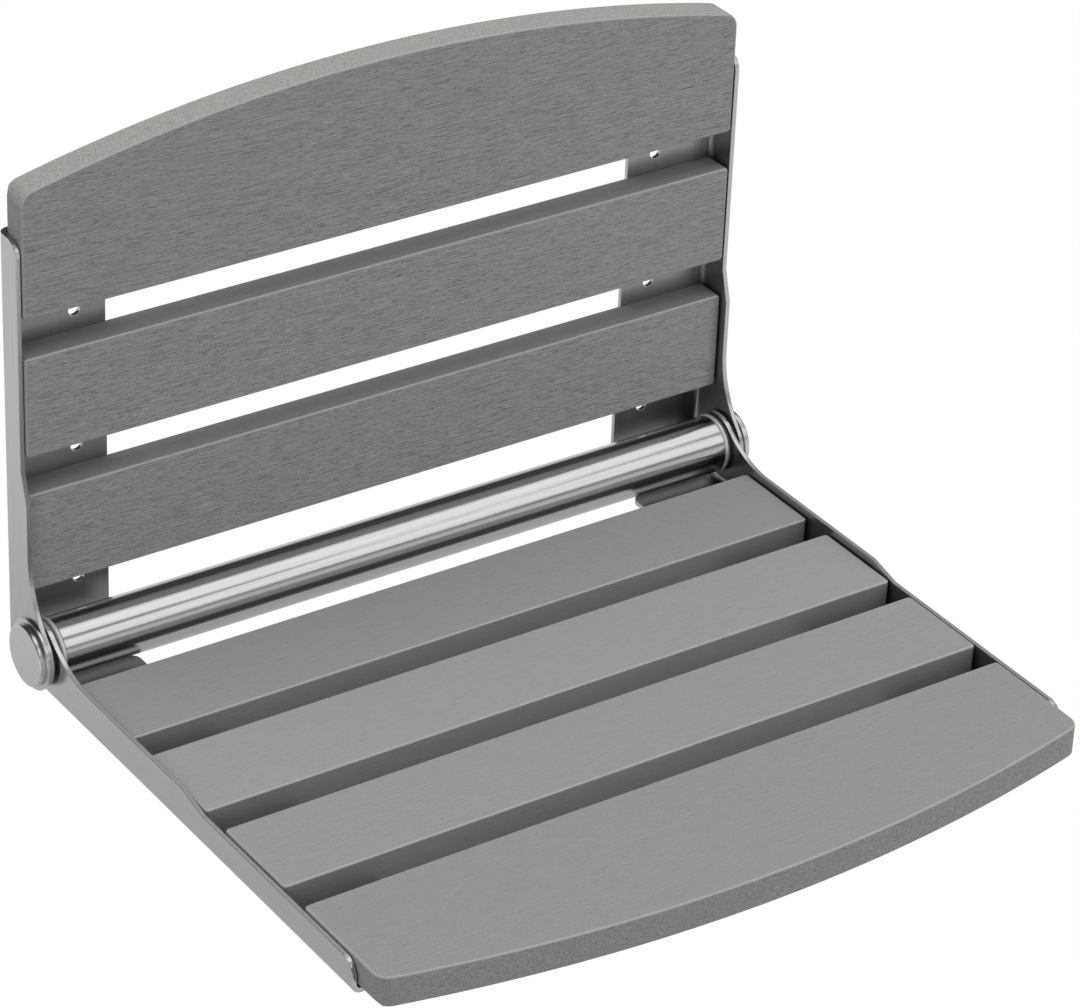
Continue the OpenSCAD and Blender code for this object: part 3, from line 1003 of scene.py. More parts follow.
@dataclass
class SlatRow:
    """A row of composite slats that all face one way, each with its show face rounded all round."""

    body: Body
    up: Vector
    out: Vector
    slats: Sequence[Slat]
    face: GrainedBoard
    end_gap: float
    corner: float = 2.0 * MM
    corner_steps: int = 4
    arch_corner: float = 8.5 * MM
    arch_corner_steps: int = 8
    arch_steps: int = 64
    face_round: float = 1.0 * MM
    face_steps: int = 4
    back_round: float = 0.2 * MM
    back_steps: int = 2
    end_bevel: float = 2.3 * MM
    cut_slope: float = 0.6
    rim_slope: float = 0.2

    def build(self) -> list[bpy.types.Object]:
        """Builds every slat of the row.

        Returns:
            The slats.
        """
        return [self._board(slat) for slat in self.slats]

    def _board(self, slat: Slat) -> bpy.types.Object:
        """Pulls a slat out from its back to its face and rounds both rims.

        Args:
            slat: The slat.

        Returns:
            The piece.
        """
        low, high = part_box(slat.node)
        axes = (ACROSS, self.up, self.out)
        reach = [sorted((low.dot(axis), high.dot(axis))) for axis in axes]
        (left, right), heights, (back, face) = reach
        ends = (left + self.end_gap, right - self.end_gap)
        piece = self._outline(slat, back, ends, heights).close()
        Bench.pull(self.out * (face - back))
        Bench.pick_corners(lambda place: abs(place.dot(self.out) - face) < TOUCH)
        Bench.bevel(self.face_round, self.face_steps)
        self._ease_back(back, ends[1])
        Bench.smooth(piece)
        # The slat's tone scales its board colour: painted light and shade for how brightly that
        # slat is lit.
        colour = tuple(part * slat.tone for part in self.face.colour)
        show = replace(self.face, name=f"{slat.node}_face", colour=colour)
        finishes = (show, BOARD_EDGE, BOARD_SIDE_SHADED, BOARD_RIM_HIGHLIGHT)
        settle(piece, slat.node, self.body, Slot.COMPOSITE, *finishes)
        self._mark_faces(piece, face, slat.arch is not None)
        return piece

    def _outline(self, slat: Slat, back: float, ends: Point, heights: Sequence[float]) -> Pen:
        """Draws a slat's outline on its back.

        Args:
            slat: The slat.
            back: Where its back lies along the way that it faces.
            ends: Where its left and right ends stand.
            heights: Where its lower and upper edges lie along the row.

        Returns:
            The pen, back at the lower left corner.
        """
        (left, right), (bottom, top) = ends, heights
        middle = (bottom + top) / 2
        easel = Easel(self.out * back, ACROSS, self.up)
        pen = Pen(f"{slat.node}_board", easel, (left + self.corner, bottom))
        pen.rounded([(right, bottom, self.corner), (right, middle, 0.0)], self.corner_steps)
        if slat.arch is None:
            tops = [(right, top, self.corner), (left, top, self.corner), (left, middle, 0.0)]
            pen.rounded(tops, self.corner_steps)
        else:
            self._arch(pen, right, top, slat.arch)
        last = [(left, bottom, self.corner), (left + self.corner, bottom, 0.0)]
        return pen.rounded(last, self.corner_steps)

    def _arch(self, pen: Pen, end: float, crest: float, radius: float) -> None:
        """Draws the far edge of an arched slat, from its right end to its left.

        Args:
            pen: The pen, part of the way up the right end.
            end: Where the right end stands.
            crest: How far up the arch reaches.
            radius: The radius of the arch.
        """
        centre = (0.0, crest - radius)
        corner_u = end - self.arch_corner
        corner_v = centre[1] + math.sqrt((radius - self.arch_corner) ** 2 - corner_u**2)
        lean = heading_of(centre, (corner_u, corner_v))
        pen.line((end, corner_v))
        pen.arc((corner_u, corner_v), lean, self.arch_corner_steps)
        pen.arc(centre, 180.0 - 2 * lean, self.arch_steps)
        pen.arc((-corner_u, corner_v), lean, self.arch_corner_steps)

    def _ease_back(self, back: float, end: float) -> None:
        """Cuts off both ends' rear edges, clear of the brackets' bends, and breaks the back rim.

        Args:
            back: Where the slat's back lies along the way that it faces.
            end: Where its right end stands.
        """
        for side in Side:
            bpy.ops.mesh.select_all(action="SELECT")
            bpy.ops.mesh.bisect(
                plane_co=side.outwards * (end - self.end_bevel) + self.out * back,
                plane_no=side.outwards - self.out,
                use_fill=True,
                clear_outer=True,
            )
        Bench.pick_corners(lambda place: abs(place.dot(self.out) - back) < TOUCH)
        Bench.bevel(self.back_round, self.back_steps)
        bpy.ops.object.mode_set(mode="OBJECT")

    def _mark_faces(self, piece: bpy.types.Object, face: float, arched: bool) -> None:
        """Gives all but the show face and the back their own finishes: the long sides a darker
        colour, which is painted shade, and the rim about the show face a lighter one, which is a
        painted highlight.

        Args:
            piece: The slat's piece.
            face: Where its show face lies along the way that it faces.
            arched: Whether its upper edge is an arch.
        """

        def cut(_: Vector, normal: Vector) -> bool:
            """Whether a face is sawn: part of an end or of an arch."""
            on_arch = arched and normal.dot(self.up) > self.cut_slope
            return on_arch or abs(normal.x) > self.cut_slope

        def side(_: Vector, normal: Vector) -> bool:
            """Whether a face is part of a straight long side, which gets the darker painted shade.
            """
            rise = normal.dot(self.up)
            return rise < -self.cut_slope or (rise > self.cut_slope and not arched)

        def rim(place: Vector, normal: Vector) -> bool:
            """Whether a face is part of the rounding about the show face, which gets the lighter
            painted highlight.
            """
            rounded = face - self.face_round < place.dot(self.out) < face - TOUCH
            return rounded and normal.dot(self.out) > self.rim_slope

        Bench.finish_faces(piece, BoardPart.CUT, cut)
        Bench.finish_faces(piece, BoardPart.SIDE, side)
        Bench.finish_faces(piece, BoardPart.RIM, rim)


# Brackets


@dataclass
class Bracket:
    """What the bent sheet brackets share: a side, a flange folded in from it, and their holes.

    The back of a bracket is its flange's outer face, and up is the way from there to the slats.
    """

    kind: ClassVar[str]
    body: ClassVar[Body]
    up: ClassVar[Vector]
    finishes: ClassVar[tuple[Finish, ...]]

    side: Side
    sheet: float = 2.5 * MM
    bend: float = 2.5 * MM
    bend_steps: int = 8
    corner: float = 5.0 * MM
    corner_steps: int = 6
    round_steps: int = 8
    hollow_steps: int = 14
    edge_break: float = 0.3 * MM
    broken_above: float = 50.0
    pivot_bore: float = 6.05 * MM
    drill_long: float = 10.0 * MM
    drill_steps: int = 32
    screw_hole: float = 2.35 * MM
    screw_head: float = 4.1 * MM
    screw_head_deep: float = 2.1 * MM
    screw_rim: float = 0.35 * MM
    screw_inset: float = 12.0 * MM
    countersink_steps: int = 24
    over: float = 1.0 * MM
    inner_slope: float = 0.3

    @property
    def node(self) -> str:
        """The node that the bracket stands for."""
        return f"{self.kind}_{self.side.word}"

    @property
    def outer(self) -> float:
        """How far out the outer face of the side stands."""
        return max(abs(edge.x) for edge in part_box(self.node))

    @property
    def back(self) -> float:
        """Where the back lies along the way up."""
        return min(edge.dot(self.up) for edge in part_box(self.node))

    @property
    def turn(self) -> float:
        """The bend's outer radius, which is also how far it reaches from each outer face."""
        return self.bend + self.sheet

    @property
    def screw_x(self) -> float:
        """Where the slat screws stand along X: half way across the wall bracket."""
        low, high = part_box("wall_bracket_right")
        return self.side.value * (low.x + high.x) / 2

    def build(self) -> list[bpy.types.Object]:
        """Builds the bracket: its side, its flange, its thickness and holes, and its finishes.

        Returns:
            The bracket alone.
        """
        piece = self._side().close()
        self._fold()
        Bench.edit(piece)
        bpy.ops.mesh.select_all(action="SELECT")
        bpy.ops.mesh.normals_make_consistent(inside=False)
        thickness = {"thickness": self.sheet, "offset": 0.0, "use_even_offset": True}
        Bench.apply(piece, "SOLIDIFY", thickness)
        Bench.cut(piece, self._cutters())
        Bench.break_edges(piece, self.edge_break, self.broken_above)
        Bench.smooth(piece)
        settle(piece, self.node, self.body, Slot.BRACKET, *self.finishes)
        self._mark_faces(piece)
        return [piece]

    def _side(self) -> Pen:
        """Draws the outline of the side, in the middle of its sheet."""
        raise NotImplementedError

    def _screw_places(self) -> list[Vector]:
        """The middle of each slat screw's head, on the bracket's back."""
        raise NotImplementedError

    def _inset(self, spans: Sequence[Sequence[float]]) -> list[float]:
        """The places of both screws in each span between two edges of slats."""
        return [z for low, high in spans for z in (low + self.screw_inset, high - self.screw_inset)]

    def _pen(self, start: Point) -> Pen:
        """A pen in the middle of the side's sheet, with Y to its right and Z up."""
        middle = self.side.outwards * (self.outer - self.sheet / 2)
        return Pen(f"{self.node}_sheet", Easel(middle, REAR, UP), start)

    def _fold(self) -> None:
        """Spins the side's straight edge round the bend, pulls the flange out and rounds it."""
        low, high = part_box(self.node)
        fold = self.back + self.turn
        Bench.pick_corners(lambda place: abs(place.dot(self.up) - fold) < TOUCH)
        hinge = self.side.outwards * (self.outer - self.turn) + self.up * fold
        angle = -self.side.value * math.radians(90.0)
        axis = self.up.cross(ACROSS)
        bpy.ops.mesh.spin(steps=self.bend_steps, angle=angle, center=hinge, axis=axis)
        Bench.pull(self.side.outwards * (self.turn - (high.x - low.x)))
        Bench.bevel(self.corner, self.corner_steps, "VERTICES")
        bpy.ops.object.mode_set(mode="OBJECT")

    def _drill(self, centre: Vector, axis: Vector, radius: float) -> bpy.types.Object:
        """Makes a round cutter.

        Args:
            centre: Its middle.
            axis: Its direction.
            radius: Its radius.

        Returns:
            The cutter.
        """
        lathe, end = Lathe(centre, axis, self.drill_steps), self.drill_long / 2
        pen = lathe.pen("drill", (-end, 0.0))
        pen.line((-end, radius), (end, radius), (end, 0.0))
        return lathe.turn(pen, closed=False)

    def _countersink(self, centre: Vector) -> bpy.types.Object:
        """Makes a cutter for one slat screw.

        Args:
            centre: The middle of the screw's head.

        Returns:
            The cutter.
        """
        lathe = Lathe(centre, self.up, self.countersink_steps)
        pen = lathe.pen("countersink", (-self.over, 0.0))
        pen.line(
            (-self.over, self.screw_head),
            (self.screw_rim, self.screw_head),
            (self.screw_head_deep, self.screw_hole),
            (self.sheet + self.over, self.screw_hole),
            (self.sheet + self.over, 0.0),
        )
        return lathe.turn(pen, closed=False)

    def _cutters(self) -> list[bpy.types.Object]:
        """Makes the cutters for the pivot and the slat screws.

        Returns:
            The cutters.
        """
        pivot = Vector((self.side.value * self.outer, PIVOT.y, PIVOT.z))
        cutters = [self._drill(pivot, ACROSS, self.pivot_bore)]
        return cutters + [self._countersink(place) for place in self._screw_places()]

    def _mark_faces(self, piece: bpy.types.Object) -> None:
        """Gives the faces inside the fold a darker, rougher finish; the darker colour is painted
        shade where the fold and the slats shade them.

        Args:
            piece: The bracket.
        """
        sign, reach = self.side.value, self.sheet - TOUCH
        outer, back = self.outer, self.back

        def inside(place: Vector, normal: Vector) -> bool:
            """Says whether a face lies inside the fold and is no part of the sheet's edge.

            Args:
                place: The middle of the face.
                normal: Its normal.

            Returns:
                True where it does.
            """
            above = place.dot(self.up) - back
            if abs(place.x) > outer - reach or above < reach:
                return False
            on_flange = normal.dot(self.up) > self.inner_slope and above < self.turn
            return on_flange or normal.x * sign < -self.inner_slope

        # The inside faces get the darker steel: painted shade.
        Bench.finish_faces(piece, SheetPart.INSIDE, inside)


@dataclass
class WallBracket(Bracket):
    """A wall bracket: a wide flange on the wall and a narrow side with a lobe at the pivot."""

    kind: ClassVar[str] = "wall_bracket"
    body: ClassVar[Body] = Body.WALL
    up: ClassVar[Vector] = FRONT
    finishes: ClassVar[tuple[Finish, ...]] = (WALL_SHEET, WALL_INSIDE_SHADED)

    top_round: float = 8.0 * MM
    setback: float = 0.3 * MM
    proud: float = 4.5 * MM
    step_above: float = 14.2 * MM
    step_below: float = 2.8 * MM
    lobe: float = 17.0 * MM
    lobe_steps: int = 24
    hollow: float = 54.0 * MM
    hole: float = 3.1 * MM
    hole_inset: float = 16.5 * MM

    def _side(self) -> Pen:
        """Draws the side from its lower rear corner up the fold, over the top and down to the lobe.

        Returns:
            The pen, at the end of the lobe.
        """
        low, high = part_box(self.node)
        slat_low, slat_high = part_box("back_slat_lower")
        upper, lower = slat_low.y + self.setback, slat_low.y - self.proud
        pivot = (PIVOT.y, PIVOT.z)
        edge = pivot[0] - lower
        rise = math.sqrt((self.hollow + self.lobe) ** 2 - (edge + self.hollow) ** 2)
        hollow = (lower - self.hollow, pivot[1] + rise)
        meet = heading_of(hollow, pivot)
        heel = (-self.turn, low.z)
        spread = math.degrees(math.acos(self.lobe / math.dist(pivot, heel)))
        leave = heading_of(pivot, heel) - spread
        pen = self._pen(heel)
        pen.line((-self.turn, high.z), (upper + self.top_round, high.z))
        pen.arc((upper + self.top_round, high.z - self.top_round), 90.0, self.round_steps)
        pen.line((upper, slat_high.z + self.step_above), (lower, slat_high.z - self.step_below))
        pen.line((lower, hollow[1]))
        pen.arc(hollow, meet, self.hollow_steps)
        return pen.arc(pivot, (leave - (meet + 180.0)) % 360.0, self.lobe_steps)

    def _screw_places(self) -> list[Vector]:
        """Finds the heads of the back's screws, two behind each end of a slat.

        Returns:
            The middle of each, on the wall plane.
        """
        spans = [[edge.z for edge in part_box(f"back_slat_{row}")] for row in ("lower", "middle")]
        spans.append([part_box("back_slat_top")[0].z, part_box(self.node)[1].z])
        return [Vector((self.screw_x, 0.0, z)) for z in self._inset(spans)]

    def _cutters(self) -> list[bpy.types.Object]:
        """Makes the cutters for the pivot, the slat screws and the three wall screws.

        Returns:
            The cutters.
        """
        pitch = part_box("back_slat_middle")[0].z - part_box("back_slat_lower")[0].z
        hole_x = self.side.value * (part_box("wall_bracket_right")[0].x + self.hole_inset)
        places = [Vector((hole_x, 0.0, row * pitch)) for row in (-1, 0, 1)]
        return super()._cutters() + [self._drill(place, self.up, self.hole) for place in places]


@dataclass
class SeatBracket(Bracket):
    """A seat bracket: a flange under the slats and a side with a lobe and a heel at the pivot."""

    kind: ClassVar[str] = "seat_bracket"
    body: ClassVar[Body] = Body.SEAT
    up: ClassVar[Vector] = UP
    finishes: ClassVar[tuple[Finish, ...]] = (SEAT_SHEET, SEAT_INSIDE_SHADED, SHEET_RIM)

    front_round: float = 9.0 * MM
    high_run: float = 104.6 * MM
    slope_run: float = 18.0 * MM
    proud: float = 3.5 * MM
    setback: float = 0.9 * MM
    lobe: float = 16.3 * MM
    lobe_steps: int = 20
    hollow: float = 50.0 * MM
    heel: float = 4.0 * MM
    heel_deep: float = 11.0 * MM
    heel_steps: int = 10
    tail: float = 2.0 * MM
    level_slope: float = 0.93

    def _side(self) -> Pen:
        """Draws the side from the front of the fold to the heel, over the lobe and along the top.

        Returns:
            The pen, at the front.
        """
        low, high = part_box(self.node)
        rear_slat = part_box("seat_slat_rear")[1]
        fold, front = self.back + self.turn, low.y
        upper, lower = rear_slat.z + self.proud, rear_slat.z - self.setback
        pivot = (PIVOT.y, PIVOT.z)
        heel = (high.y - self.heel, pivot[1] - self.heel_deep)
        spread = math.degrees(math.acos((self.lobe - self.heel) / math.dist(pivot, heel)))
        under, over = heading_of(pivot, heel) - spread, heading_of(pivot, heel) + spread
        rise = upper - pivot[1]
        reach = math.sqrt((self.hollow + self.lobe) ** 2 - (rise + self.hollow) ** 2)
        hollow = (pivot[0] - reach, upper + self.hollow)
        meet = heading_of(pivot, hollow)
        tail = pivot[0] + self.tail
        start, end = polar(pivot, self.lobe, under), polar(heel, self.heel, under)
        tail_z = start[1] + (tail - start[0]) * (end[1] - start[1]) / (end[0] - start[0])
        slope = rear_slat.y - self.high_run
        pen = self._pen((front, fold))
        pen.line((tail, fold), (tail, tail_z), end)
        pen.arc(heel, over - under, self.heel_steps)
        pen.line(polar(pivot, self.lobe, over))
        pen.arc(pivot, meet - over, self.lobe_steps)
        pen.arc(hollow, -90.0 - heading_of(hollow, pivot), self.hollow_steps)
        pen.line((slope, upper), (slope - self.slope_run, lower), (front + self.front_round, lower))
        corner = (front + self.front_round, lower - self.front_round)
        return pen.arc(corner, 90.0, self.round_steps)

    def _screw_places(self) -> list[Vector]:
        """Finds the heads of the seat's screws, two below each end of a slat.

        Returns:
            The middle of each, on the underside of the flange.
        """
        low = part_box(self.node)[0]
        rows = ("rear", "second", "third")
        spans = [[edge.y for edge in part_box(f"seat_slat_{row}")] for row in rows]
        spans.append([low.y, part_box("seat_slat_front")[1].y])
        return [Vector((self.screw_x, y, low.z)) for y in self._inset(spans)]

    def _mark_faces(self, piece: bpy.types.Object) -> None:
        """Gives the faces inside the fold their darker painted shade and the top edge of the side
        its own finish.

        Args:
            piece: The bracket.
        """
        super()._mark_faces(piece)
        fold = self.back + self.turn

        def top_edge(place: Vector, normal: Vector) -> bool:
            """Whether a face is a level one above the fold."""
            return normal.z > self.level_slope and place.z > fold

        Bench.finish_faces(piece, SheetPart.RIM, top_edge)


# Hinge


@dataclass
class Hinge:
    """The cross tube and what holds it at both ends, all turned about the pivot."""

    bore: float = 6.05 * MM
    shank: float = 6.0 * MM
    tube_radius: float = 15.0 * MM
    tube_wall: float = 1.5 * MM
    plug_lip: float = 0.6 * MM
    plug_fit: float = 0.1 * MM
    plug_reach: float = 18.0 * MM
    plug_edge: float = 0.5 * MM
    plug_bead: float = 1.1 * MM
    cap_edge: float = 0.8 * MM
    washer_edge: float = 0.25 * MM
    point: float = 1.0 * MM
    edge_steps: int = 4

    def build(self) -> list[bpy.types.Object]:
        """Builds the tube and both of its ends.

        Returns:
            The pieces.
        """
        pieces = [self._tube()]
        for side in Side:
            pieces += [self._plug(side), *self._rings(side), self._bolt(side)]
        return pieces

    def _lathe(self, side: Side) -> Lathe:
        """The lathe of one side, whose axis runs outwards from the middle of the seat."""
        return Lathe(Vector((0.0, PIVOT.y, PIVOT.z)), side.outwards)

    @staticmethod
    def _ends(node: str) -> Point:
        """Where a node begins and ends, outwards from the middle of the seat."""
        low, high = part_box(node)
        return tuple(sorted((abs(low.x), abs(high.x))))

    @staticmethod
    def _radius(node: str) -> float:
        """The outer radius of a node."""
        low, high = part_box(node)
        return (high.z - low.z) / 2

    def _tube(self) -> bpy.types.Object:
        """Turns the cross tube, open at both ends.

        Returns:
            The piece.
        """
        node = "pivot_tube"
        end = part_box(node)[1].x
        inner = self.tube_radius - self.tube_wall
        lathe = self._lathe(Side.RIGHT)
        piece = lathe.ring(f"{node}_turned", (-end, end), inner, self.tube_radius, self.washer_edge)
        return settle(Bench.smooth(piece), node, Body.WALL, Slot.TUBE, TUBE_STEEL)

    def _plug(self, side: Side) -> bpy.types.Object:
        """Turns a plug: a rim a little larger than the tube, and a spigot inside it.

        Args:
            side: The side that it is on.

        Returns:
            The piece.
        """
        node = f"tube_plug_{side.word}"
        start, end = self._ends(node)
        seat = start + self.plug_reach
        spigot = self.tube_radius - self.tube_wall - self.plug_fit
        rim = self.tube_radius + self.plug_lip
        pen = self._lathe(side).pen(f"{node}_turned", (start, self.bore))
        corners = [
            (start, spigot, self.plug_edge),
            (seat, spigot, 0.0),
            (seat, rim, self.plug_bead),
            (end, rim, self.plug_bead),
            (end, self.bore, 0.0),
        ]
        pen.rounded(corners, self.edge_steps)
        piece = self._lathe(side).turn(pen)
        # The plug gets the lighter ring steel, a painted highlight on its bead.
        return settle(Bench.smooth(piece), node, Body.WALL, Slot.TUBE, RING_STEEL_HIGHLIT)

    def _rings(self, side: Side) -> list[bpy.types.Object]:
        """Turns the spacer, the hinge washer and the cap washer.

        Args:
            side: The side that they are on.

        Returns:
            The three pieces.
        """
        kinds = (
            ("tube_spacer", Slot.NYLON, DARK_NYLON),
            ("hinge_washer", Slot.NYLON, DARK_NYLON),
            ("cap_washer", Slot.CAP, TURNED_STEEL),
        )
        pieces = []
        for kind, slot, finish in kinds:
            node = f"{kind}_{side.word}"
            ends, radius = self._ends(node), self._radius(node)
            lathe = self._lathe(side)
            piece = lathe.ring(f"{node}_turned", ends, self.bore, radius, self.washer_edge)
            pieces.append(settle(Bench.smooth(piece), node, Body.WALL, slot, finish))
        return pieces

    def _bolt(self, side: Side) -> bpy.types.Object:
        """Turns a pivot bolt: a flat round cap on a shank that runs into the plug.

        Args:
            side: The side that it is on.

        Returns:
            The piece.
        """
        node = f"pivot_bolt_{side.word}"
        start, end = self._ends(node)
        radius = self._radius(node)
        seat = self._ends(f"cap_washer_{side.word}")[1]
        pen = self._lathe(side).pen(f"{node}_turned", (start, 0.0))
        corners = [
            (start, self.shank - self.point, 0.0),
            (start + self.point, self.shank, 0.0),
            (seat, self.shank, 0.0),
            (seat, radius, self.washer_edge),
            (end, radius, self.cap_edge),
            (end, 0.0, 0.0),
        ]
        pen.rounded(corners, self.edge_steps)
        piece = self._lathe(side).turn(pen, closed=False)
        return settle(Bench.smooth(piece), node, Body.WALL, Slot.CAP, TURNED_STEEL)


# Slat screws


@dataclass
class SlatScrews:
    """The countersunk screws that hold the slats, made once and copied."""

    head: float = 4.0 * MM
    head_deep: float = 2.1 * MM
    rim: float = 0.2 * MM
    shank: float = 2.1 * MM
    length: float = 12.5 * MM
    tip: float = 3.0 * MM
    steps: int = 24
    recess_long: float = 4.4 * MM
    recess_wide: float = 0.9 * MM
    recess_deep: float = 1.5 * MM
    recess_taper: float = 0.55
    apart: float = 10.0 * MM
    twist: float = 1.1

    def build(self) -> list[bpy.types.Object]:
        """Builds both sets of screws.

        Returns:
            The two pieces.
        """
        return [
            self._set("back_slat_screws", Body.WALL, FRONT),
            self._set("seat_slat_screws", Body.SEAT, UP),
        ]

    def _screw(self) -> bpy.types.Object:
        """Turns one screw at the origin, its head on the plane Z = 0 and its point upwards.

        Returns:
            The screw.
        """
        lathe = Lathe(Vector((0.0, 0.0, 0.0)), UP, self.steps)
        pen = lathe.pen("screw", (0.0, 0.0))
        pen.line(
            (0.0, self.head),
            (self.rim, self.head),
            (self.head_deep, self.shank),
            (self.length - self.tip, self.shank),
            (self.length, 0.0),
        )
        piece = lathe.turn(pen, closed=False)
        for degrees in (0.0, 90.0):
            Bench.cut(piece, [self._recess_bar(degrees)])
        return piece

    def _recess_bar(self, degrees: float) -> bpy.types.Object:
        """Makes the cutter for one arm of the cross recess, which narrows inwards.

        Args:
            degrees: How far the arm is turned.

        Returns:
            The cutter.
        """
        Bench.clear()
        size = (self.recess_long, self.recess_wide, 2 * self.recess_deep)
        turn = (0.0, 0.0, math.radians(degrees))
        bpy.ops.mesh.primitive_cube_add(size=1.0, scale=size, rotation=turn)
        bar = Bench.seat_origin()
        Bench.edit(bar)
        Bench.pick_corners(lambda place: place.z > TOUCH)
        bpy.ops.transform.resize(value=(self.recess_taper, self.recess_taper, 1.0))
        bpy.ops.object.mode_set(mode="OBJECT")
        return bar

    def _set(self, node: str, body: Body, points: Vector) -> bpy.types.Object:
        """Copies the screw to every place of a node, each turned on a little, and joins them.

        Args:
            node: The node that holds the screws.
            body: The body that they ride on.
            points: The way that they point.

        Returns:
            The piece.
        """
        master = self._screw()
        turn = points.to_track_quat("Z", "Y").to_matrix().to_4x4()
        copies = []
        for number, place in enumerate(self._places(node, points)):
            copy = master.copy()
            copy.data = master.data.copy()
            spin = Matrix.Rotation(number * self.twist, 4, "Z")
            copy.data.transform(Matrix.Translation(place) @ turn @ spin)
            bpy.context.collection.objects.link(copy)
            copies.append(copy)
        Bench.discard(master)
        piece = Bench.join(copies, f"{node}_set")
        return settle(Bench.smooth(piece), node, body, Slot.SCREW, SCREW_STEEL)

    def _places(self, node: str, points: Vector) -> list[Vector]:
        """Finds the heads in a node, from the corners of its solids that lie on the outer face.

        Args:
            node: The node that holds the screws.
            points: The way that they point.

        Returns:
            The middle of each head.
        """
        heads: list[list[Vector]] = []
        corners = [corner.co for corner in frame["nodes"][node].data.vertices]
        outer = min(corner.dot(points) for corner in corners)
        for corner in (c for c in corners if c.dot(points) < outer + TOUCH):
            near = next((head for head in heads if (head[0] - corner).length < self.apart), None)
            if near is None:
                heads.append([corner])
            else:
                near.append(corner)
        return [Vector([(min(part) + max(part)) / 2 for part in zip(*head)]) for head in heads]


# Studio


@dataclass(frozen=True)
class Softbox:
    """A soft square lamp. A dull one lights the seat, but the steel doesn't mirror it."""

    name: str
    place: tuple[float, float, float]
    aim: tuple[float, float, float]
    size: tuple[float, float]
    energy: float
    dull: bool = True

    def build(self) -> None:
        """Hangs the lamp up."""
        data = bpy.data.lights.new(self.name, "AREA")
        data.shape = "RECTANGLE"
        data.size, data.size_y = self.size
        data.energy = self.energy
        lamp = bpy.data.objects.new(self.name, data)
        lamp.location = self.place
        way = Vector(self.aim) - Vector(self.place)
        lamp.rotation_euler = way.to_track_quat("-Z", "Y").to_euler()
        lamp.visible_camera = False
        lamp.visible_glossy = not self.dull
        bpy.context.scene.collection.objects.link(lamp)


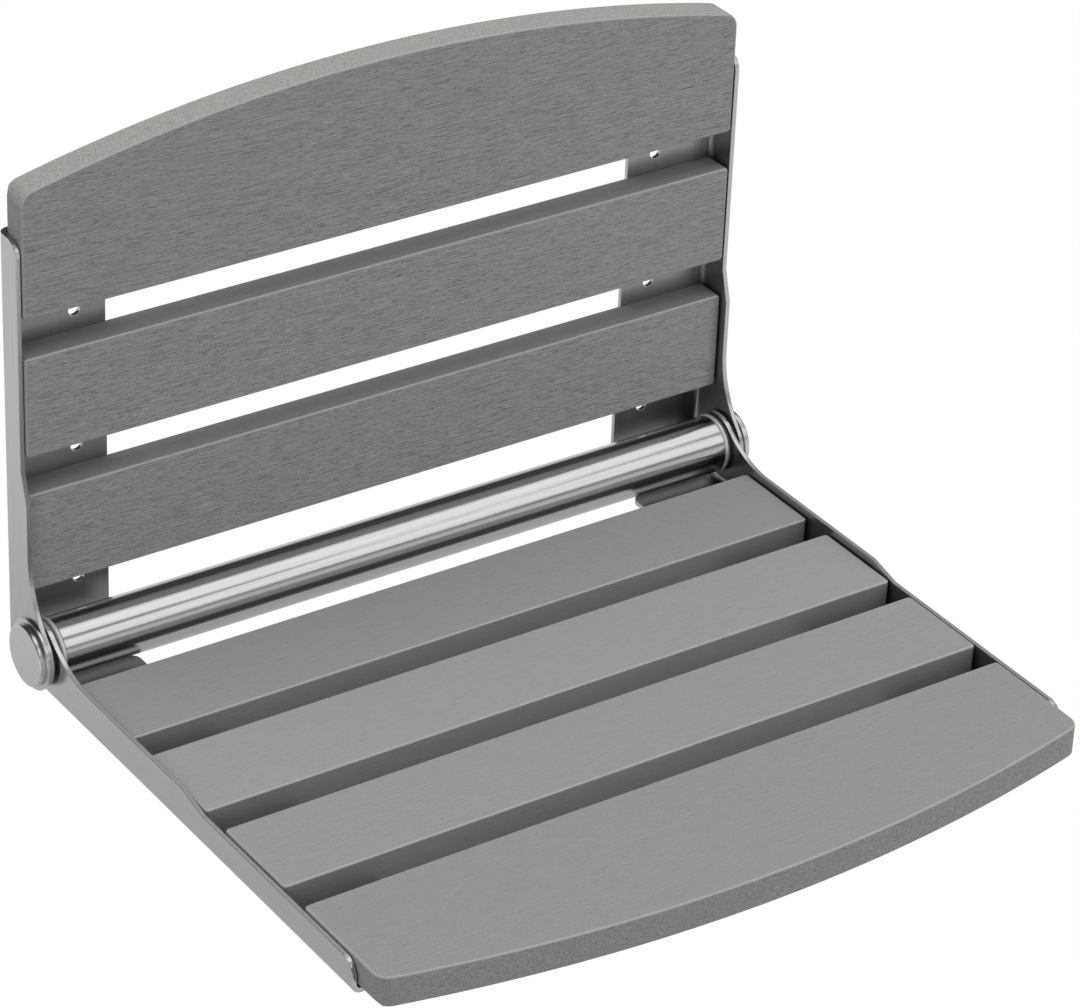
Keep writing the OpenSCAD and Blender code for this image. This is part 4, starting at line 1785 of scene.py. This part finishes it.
@dataclass(frozen=True)
class Studio:
    """A pale floor well below the seat, soft lamps, a white backdrop and the camera."""

    floor_height: float = -0.45
    floor_size: float = 30.0
    floor_white: float = 0.20
    floor_roughness: float = 0.9
    floor_clean: float = 0.975
    floor_glow: float = 1.02
    # How the floor glows in the steel, near and far: dimmer near the seat, as a painted shadow.
    mirror_glow_painted_shadow: Band = (0.49, 0.86)
    painted_shadow_reach: Band = (0.68, 1.05)
    ambient_low: float = 0.14
    ambient_high: float = 0.80
    ambient_band: Band = (-0.1, 1.0)
    sweep: float = 0.80
    ceiling: float = 0.05
    front: float = 0.18
    high_band: Band = (0.10, 0.30)
    behind_band: Band = (-0.12, 0.10)
    camera_place: tuple[float, float, float] = (-1.06689, -1.67192, 1.10465)
    camera_turn: tuple[float, float, float] = (59.03395, -2.42970, -34.28622)
    lens: float = 153.827
    shift: Point = (-0.044574, 0.007492)
    sight: float = 100.0
    lamps: Sequence[Softbox] = (
        Softbox("top_box", (0.75, -0.26, 1.54), (0.35, -0.12, 0.0), (1.5, 1.15), 6.8, dull=False),
        Softbox("front_box", (1.1, -1.68, 1.16), (0.0, -0.1, -0.05), (1.5, 1.05), 5.8, dull=False),
        Softbox("key_box", (-0.5, 0.1, 1.9), (0.0, -0.15, 0.0), (1.8, 1.8), 13.0),
        Softbox("fill_box", (2.0, -2.0, 0.35), (0.0, 0.0, -0.05), (1.8, 1.1), 15.0),
        Softbox("left_box", (-1.9, -1.05, 0.6), (0.0, -0.2, -0.05), (1.2, 1.2), 8.8),
    )

    def build(self) -> None:
        """Sets up the whole studio."""
        bpy.context.scene.view_settings.view_transform = "Standard"
        self._floor()
        self._backdrop()
        for lamp in self.lamps:
            lamp.build()
        self._camera()
        log.info("studio: %d lamps", len(self.lamps))

    def _floor(self) -> None:
        """Lays the floor, which glows nearly white to the camera but keeps the seat's shadow.

        In the steel it glows less, and least just below the seat: a painted shadow of the seat,
        seen in the steel.
        """
        Bench.clear()
        place = (0.0, 0.0, self.floor_height)
        bpy.ops.mesh.primitive_plane_add(size=self.floor_size, location=place)
        floor = Bench.seat_origin()
        floor.name = "studio_floor"
        material = bpy.data.materials.new("pale_floor")
        material.use_nodes = True
        graph = Graph(material.node_tree)
        ground = (self.floor_white, self.floor_white, self.floor_white, 1.0)
        paint = graph.shader({"Base Color": ground, "Roughness": self.floor_roughness})
        inputs = {"Color": (1.0, 1.0, 1.0, 1.0), "Strength": self.floor_glow}
        glow = graph.node("ShaderNodeEmission", inputs=inputs)
        length = {"operation": "LENGTH"}
        distance = graph.node("ShaderNodeVectorMath", length, {0: graph.place()}, out="Value")
        near, far = self.mirror_glow_painted_shadow
        mirror_glow_shadowed = near + distance.ramp(self.painted_shadow_reach) * (far - near)
        rays = graph.ray("Camera") + graph.ray("Glossy") * mirror_glow_shadowed + graph.ray("Transmission")
        inputs = {0: rays * self.floor_clean, 1: paint, 2: glow}
        mixed = graph.node("ShaderNodeMixShader", inputs=inputs)
        graph.end("ShaderNodeOutputMaterial", mixed)
        floor.data.materials.append(material)

    def _backdrop(self) -> None:
        """Makes the world: white to the camera, soft light on the seat, and a room in the steel.

        The room is a pale sweep low down and a dark ceiling, which is darkest towards the wall.
        """
        world = bpy.data.worlds.new("studio_world")
        world.use_nodes = True
        bpy.context.scene.world = world
        graph = Graph(world.node_tree)
        way = graph.node("ShaderNodeTexCoord", out="Generated")
        back, up = graph.part(way, 1), graph.part(way, 2)
        above = back.ramp(self.behind_band).choose(self.ceiling, self.front)
        room = up.ramp(self.high_band).choose(above, self.sweep)
        rise = self.ambient_high - self.ambient_low
        sky = self.ambient_low + up.ramp(self.ambient_band) * rise
        lit = graph.ray("Glossy").choose(room, sky)
        strength = (graph.ray("Camera") + graph.ray("Transmission")).choose(1.0, lit)
        inputs = {"Color": (1.0, 1.0, 1.0, 1.0), "Strength": strength}
        glow = graph.node("ShaderNodeBackground", inputs=inputs)
        graph.end("ShaderNodeOutputWorld", glow)

    def _camera(self) -> None:
        """Puts the camera at the photograph's viewing angle."""
        data = bpy.data.cameras.new("photo_camera")
        data.lens = self.lens
        data.sensor_fit = "HORIZONTAL"
        data.shift_x, data.shift_y = self.shift
        data.clip_end = self.sight
        camera = bpy.data.objects.new("photo_camera", data)
        camera.location = self.camera_place
        camera.rotation_euler = tuple(math.radians(angle) for angle in self.camera_turn)
        bpy.context.scene.collection.objects.link(camera)
        bpy.context.scene.camera = camera


def main() -> None:
    """Builds the studio and every piece of the seat, and reports the pieces."""
    logging.basicConfig(level=logging.INFO, format="%(message)s")
    Studio().build()
    # Each slat's second number is painted light and shade: it makes the board lighter or darker as
    # the light falls on it, such as the rear seat slat in the back's shade.
    back_slats = (
        Slat("back_slat_top", 1.04, arch=840.0 * MM),
        Slat("back_slat_middle", 1.07),
        Slat("back_slat_lower", 1.05),
    )
    seat_slats = (
        Slat("seat_slat_rear", 0.98),
        Slat("seat_slat_second", 1.07),
        Slat("seat_slat_third", 1.0),
        Slat("seat_slat_front", 0.94, arch=825.0 * MM),
    )
    parts: list[Part] = [
        SlatRow(Body.WALL, UP, FRONT, back_slats, BACK_FACE, end_gap=0.25 * MM),
        SlatRow(Body.SEAT, FRONT, UP, seat_slats, SEAT_FACE, end_gap=0.2 * MM),
        *(bracket(side) for side in Side for bracket in (WallBracket, SeatBracket)),
        Hinge(),
        SlatScrews(),
    ]
    for part in parts:
        for piece in part.build():
            report(piece)


if __name__ == "__main__":
    main()
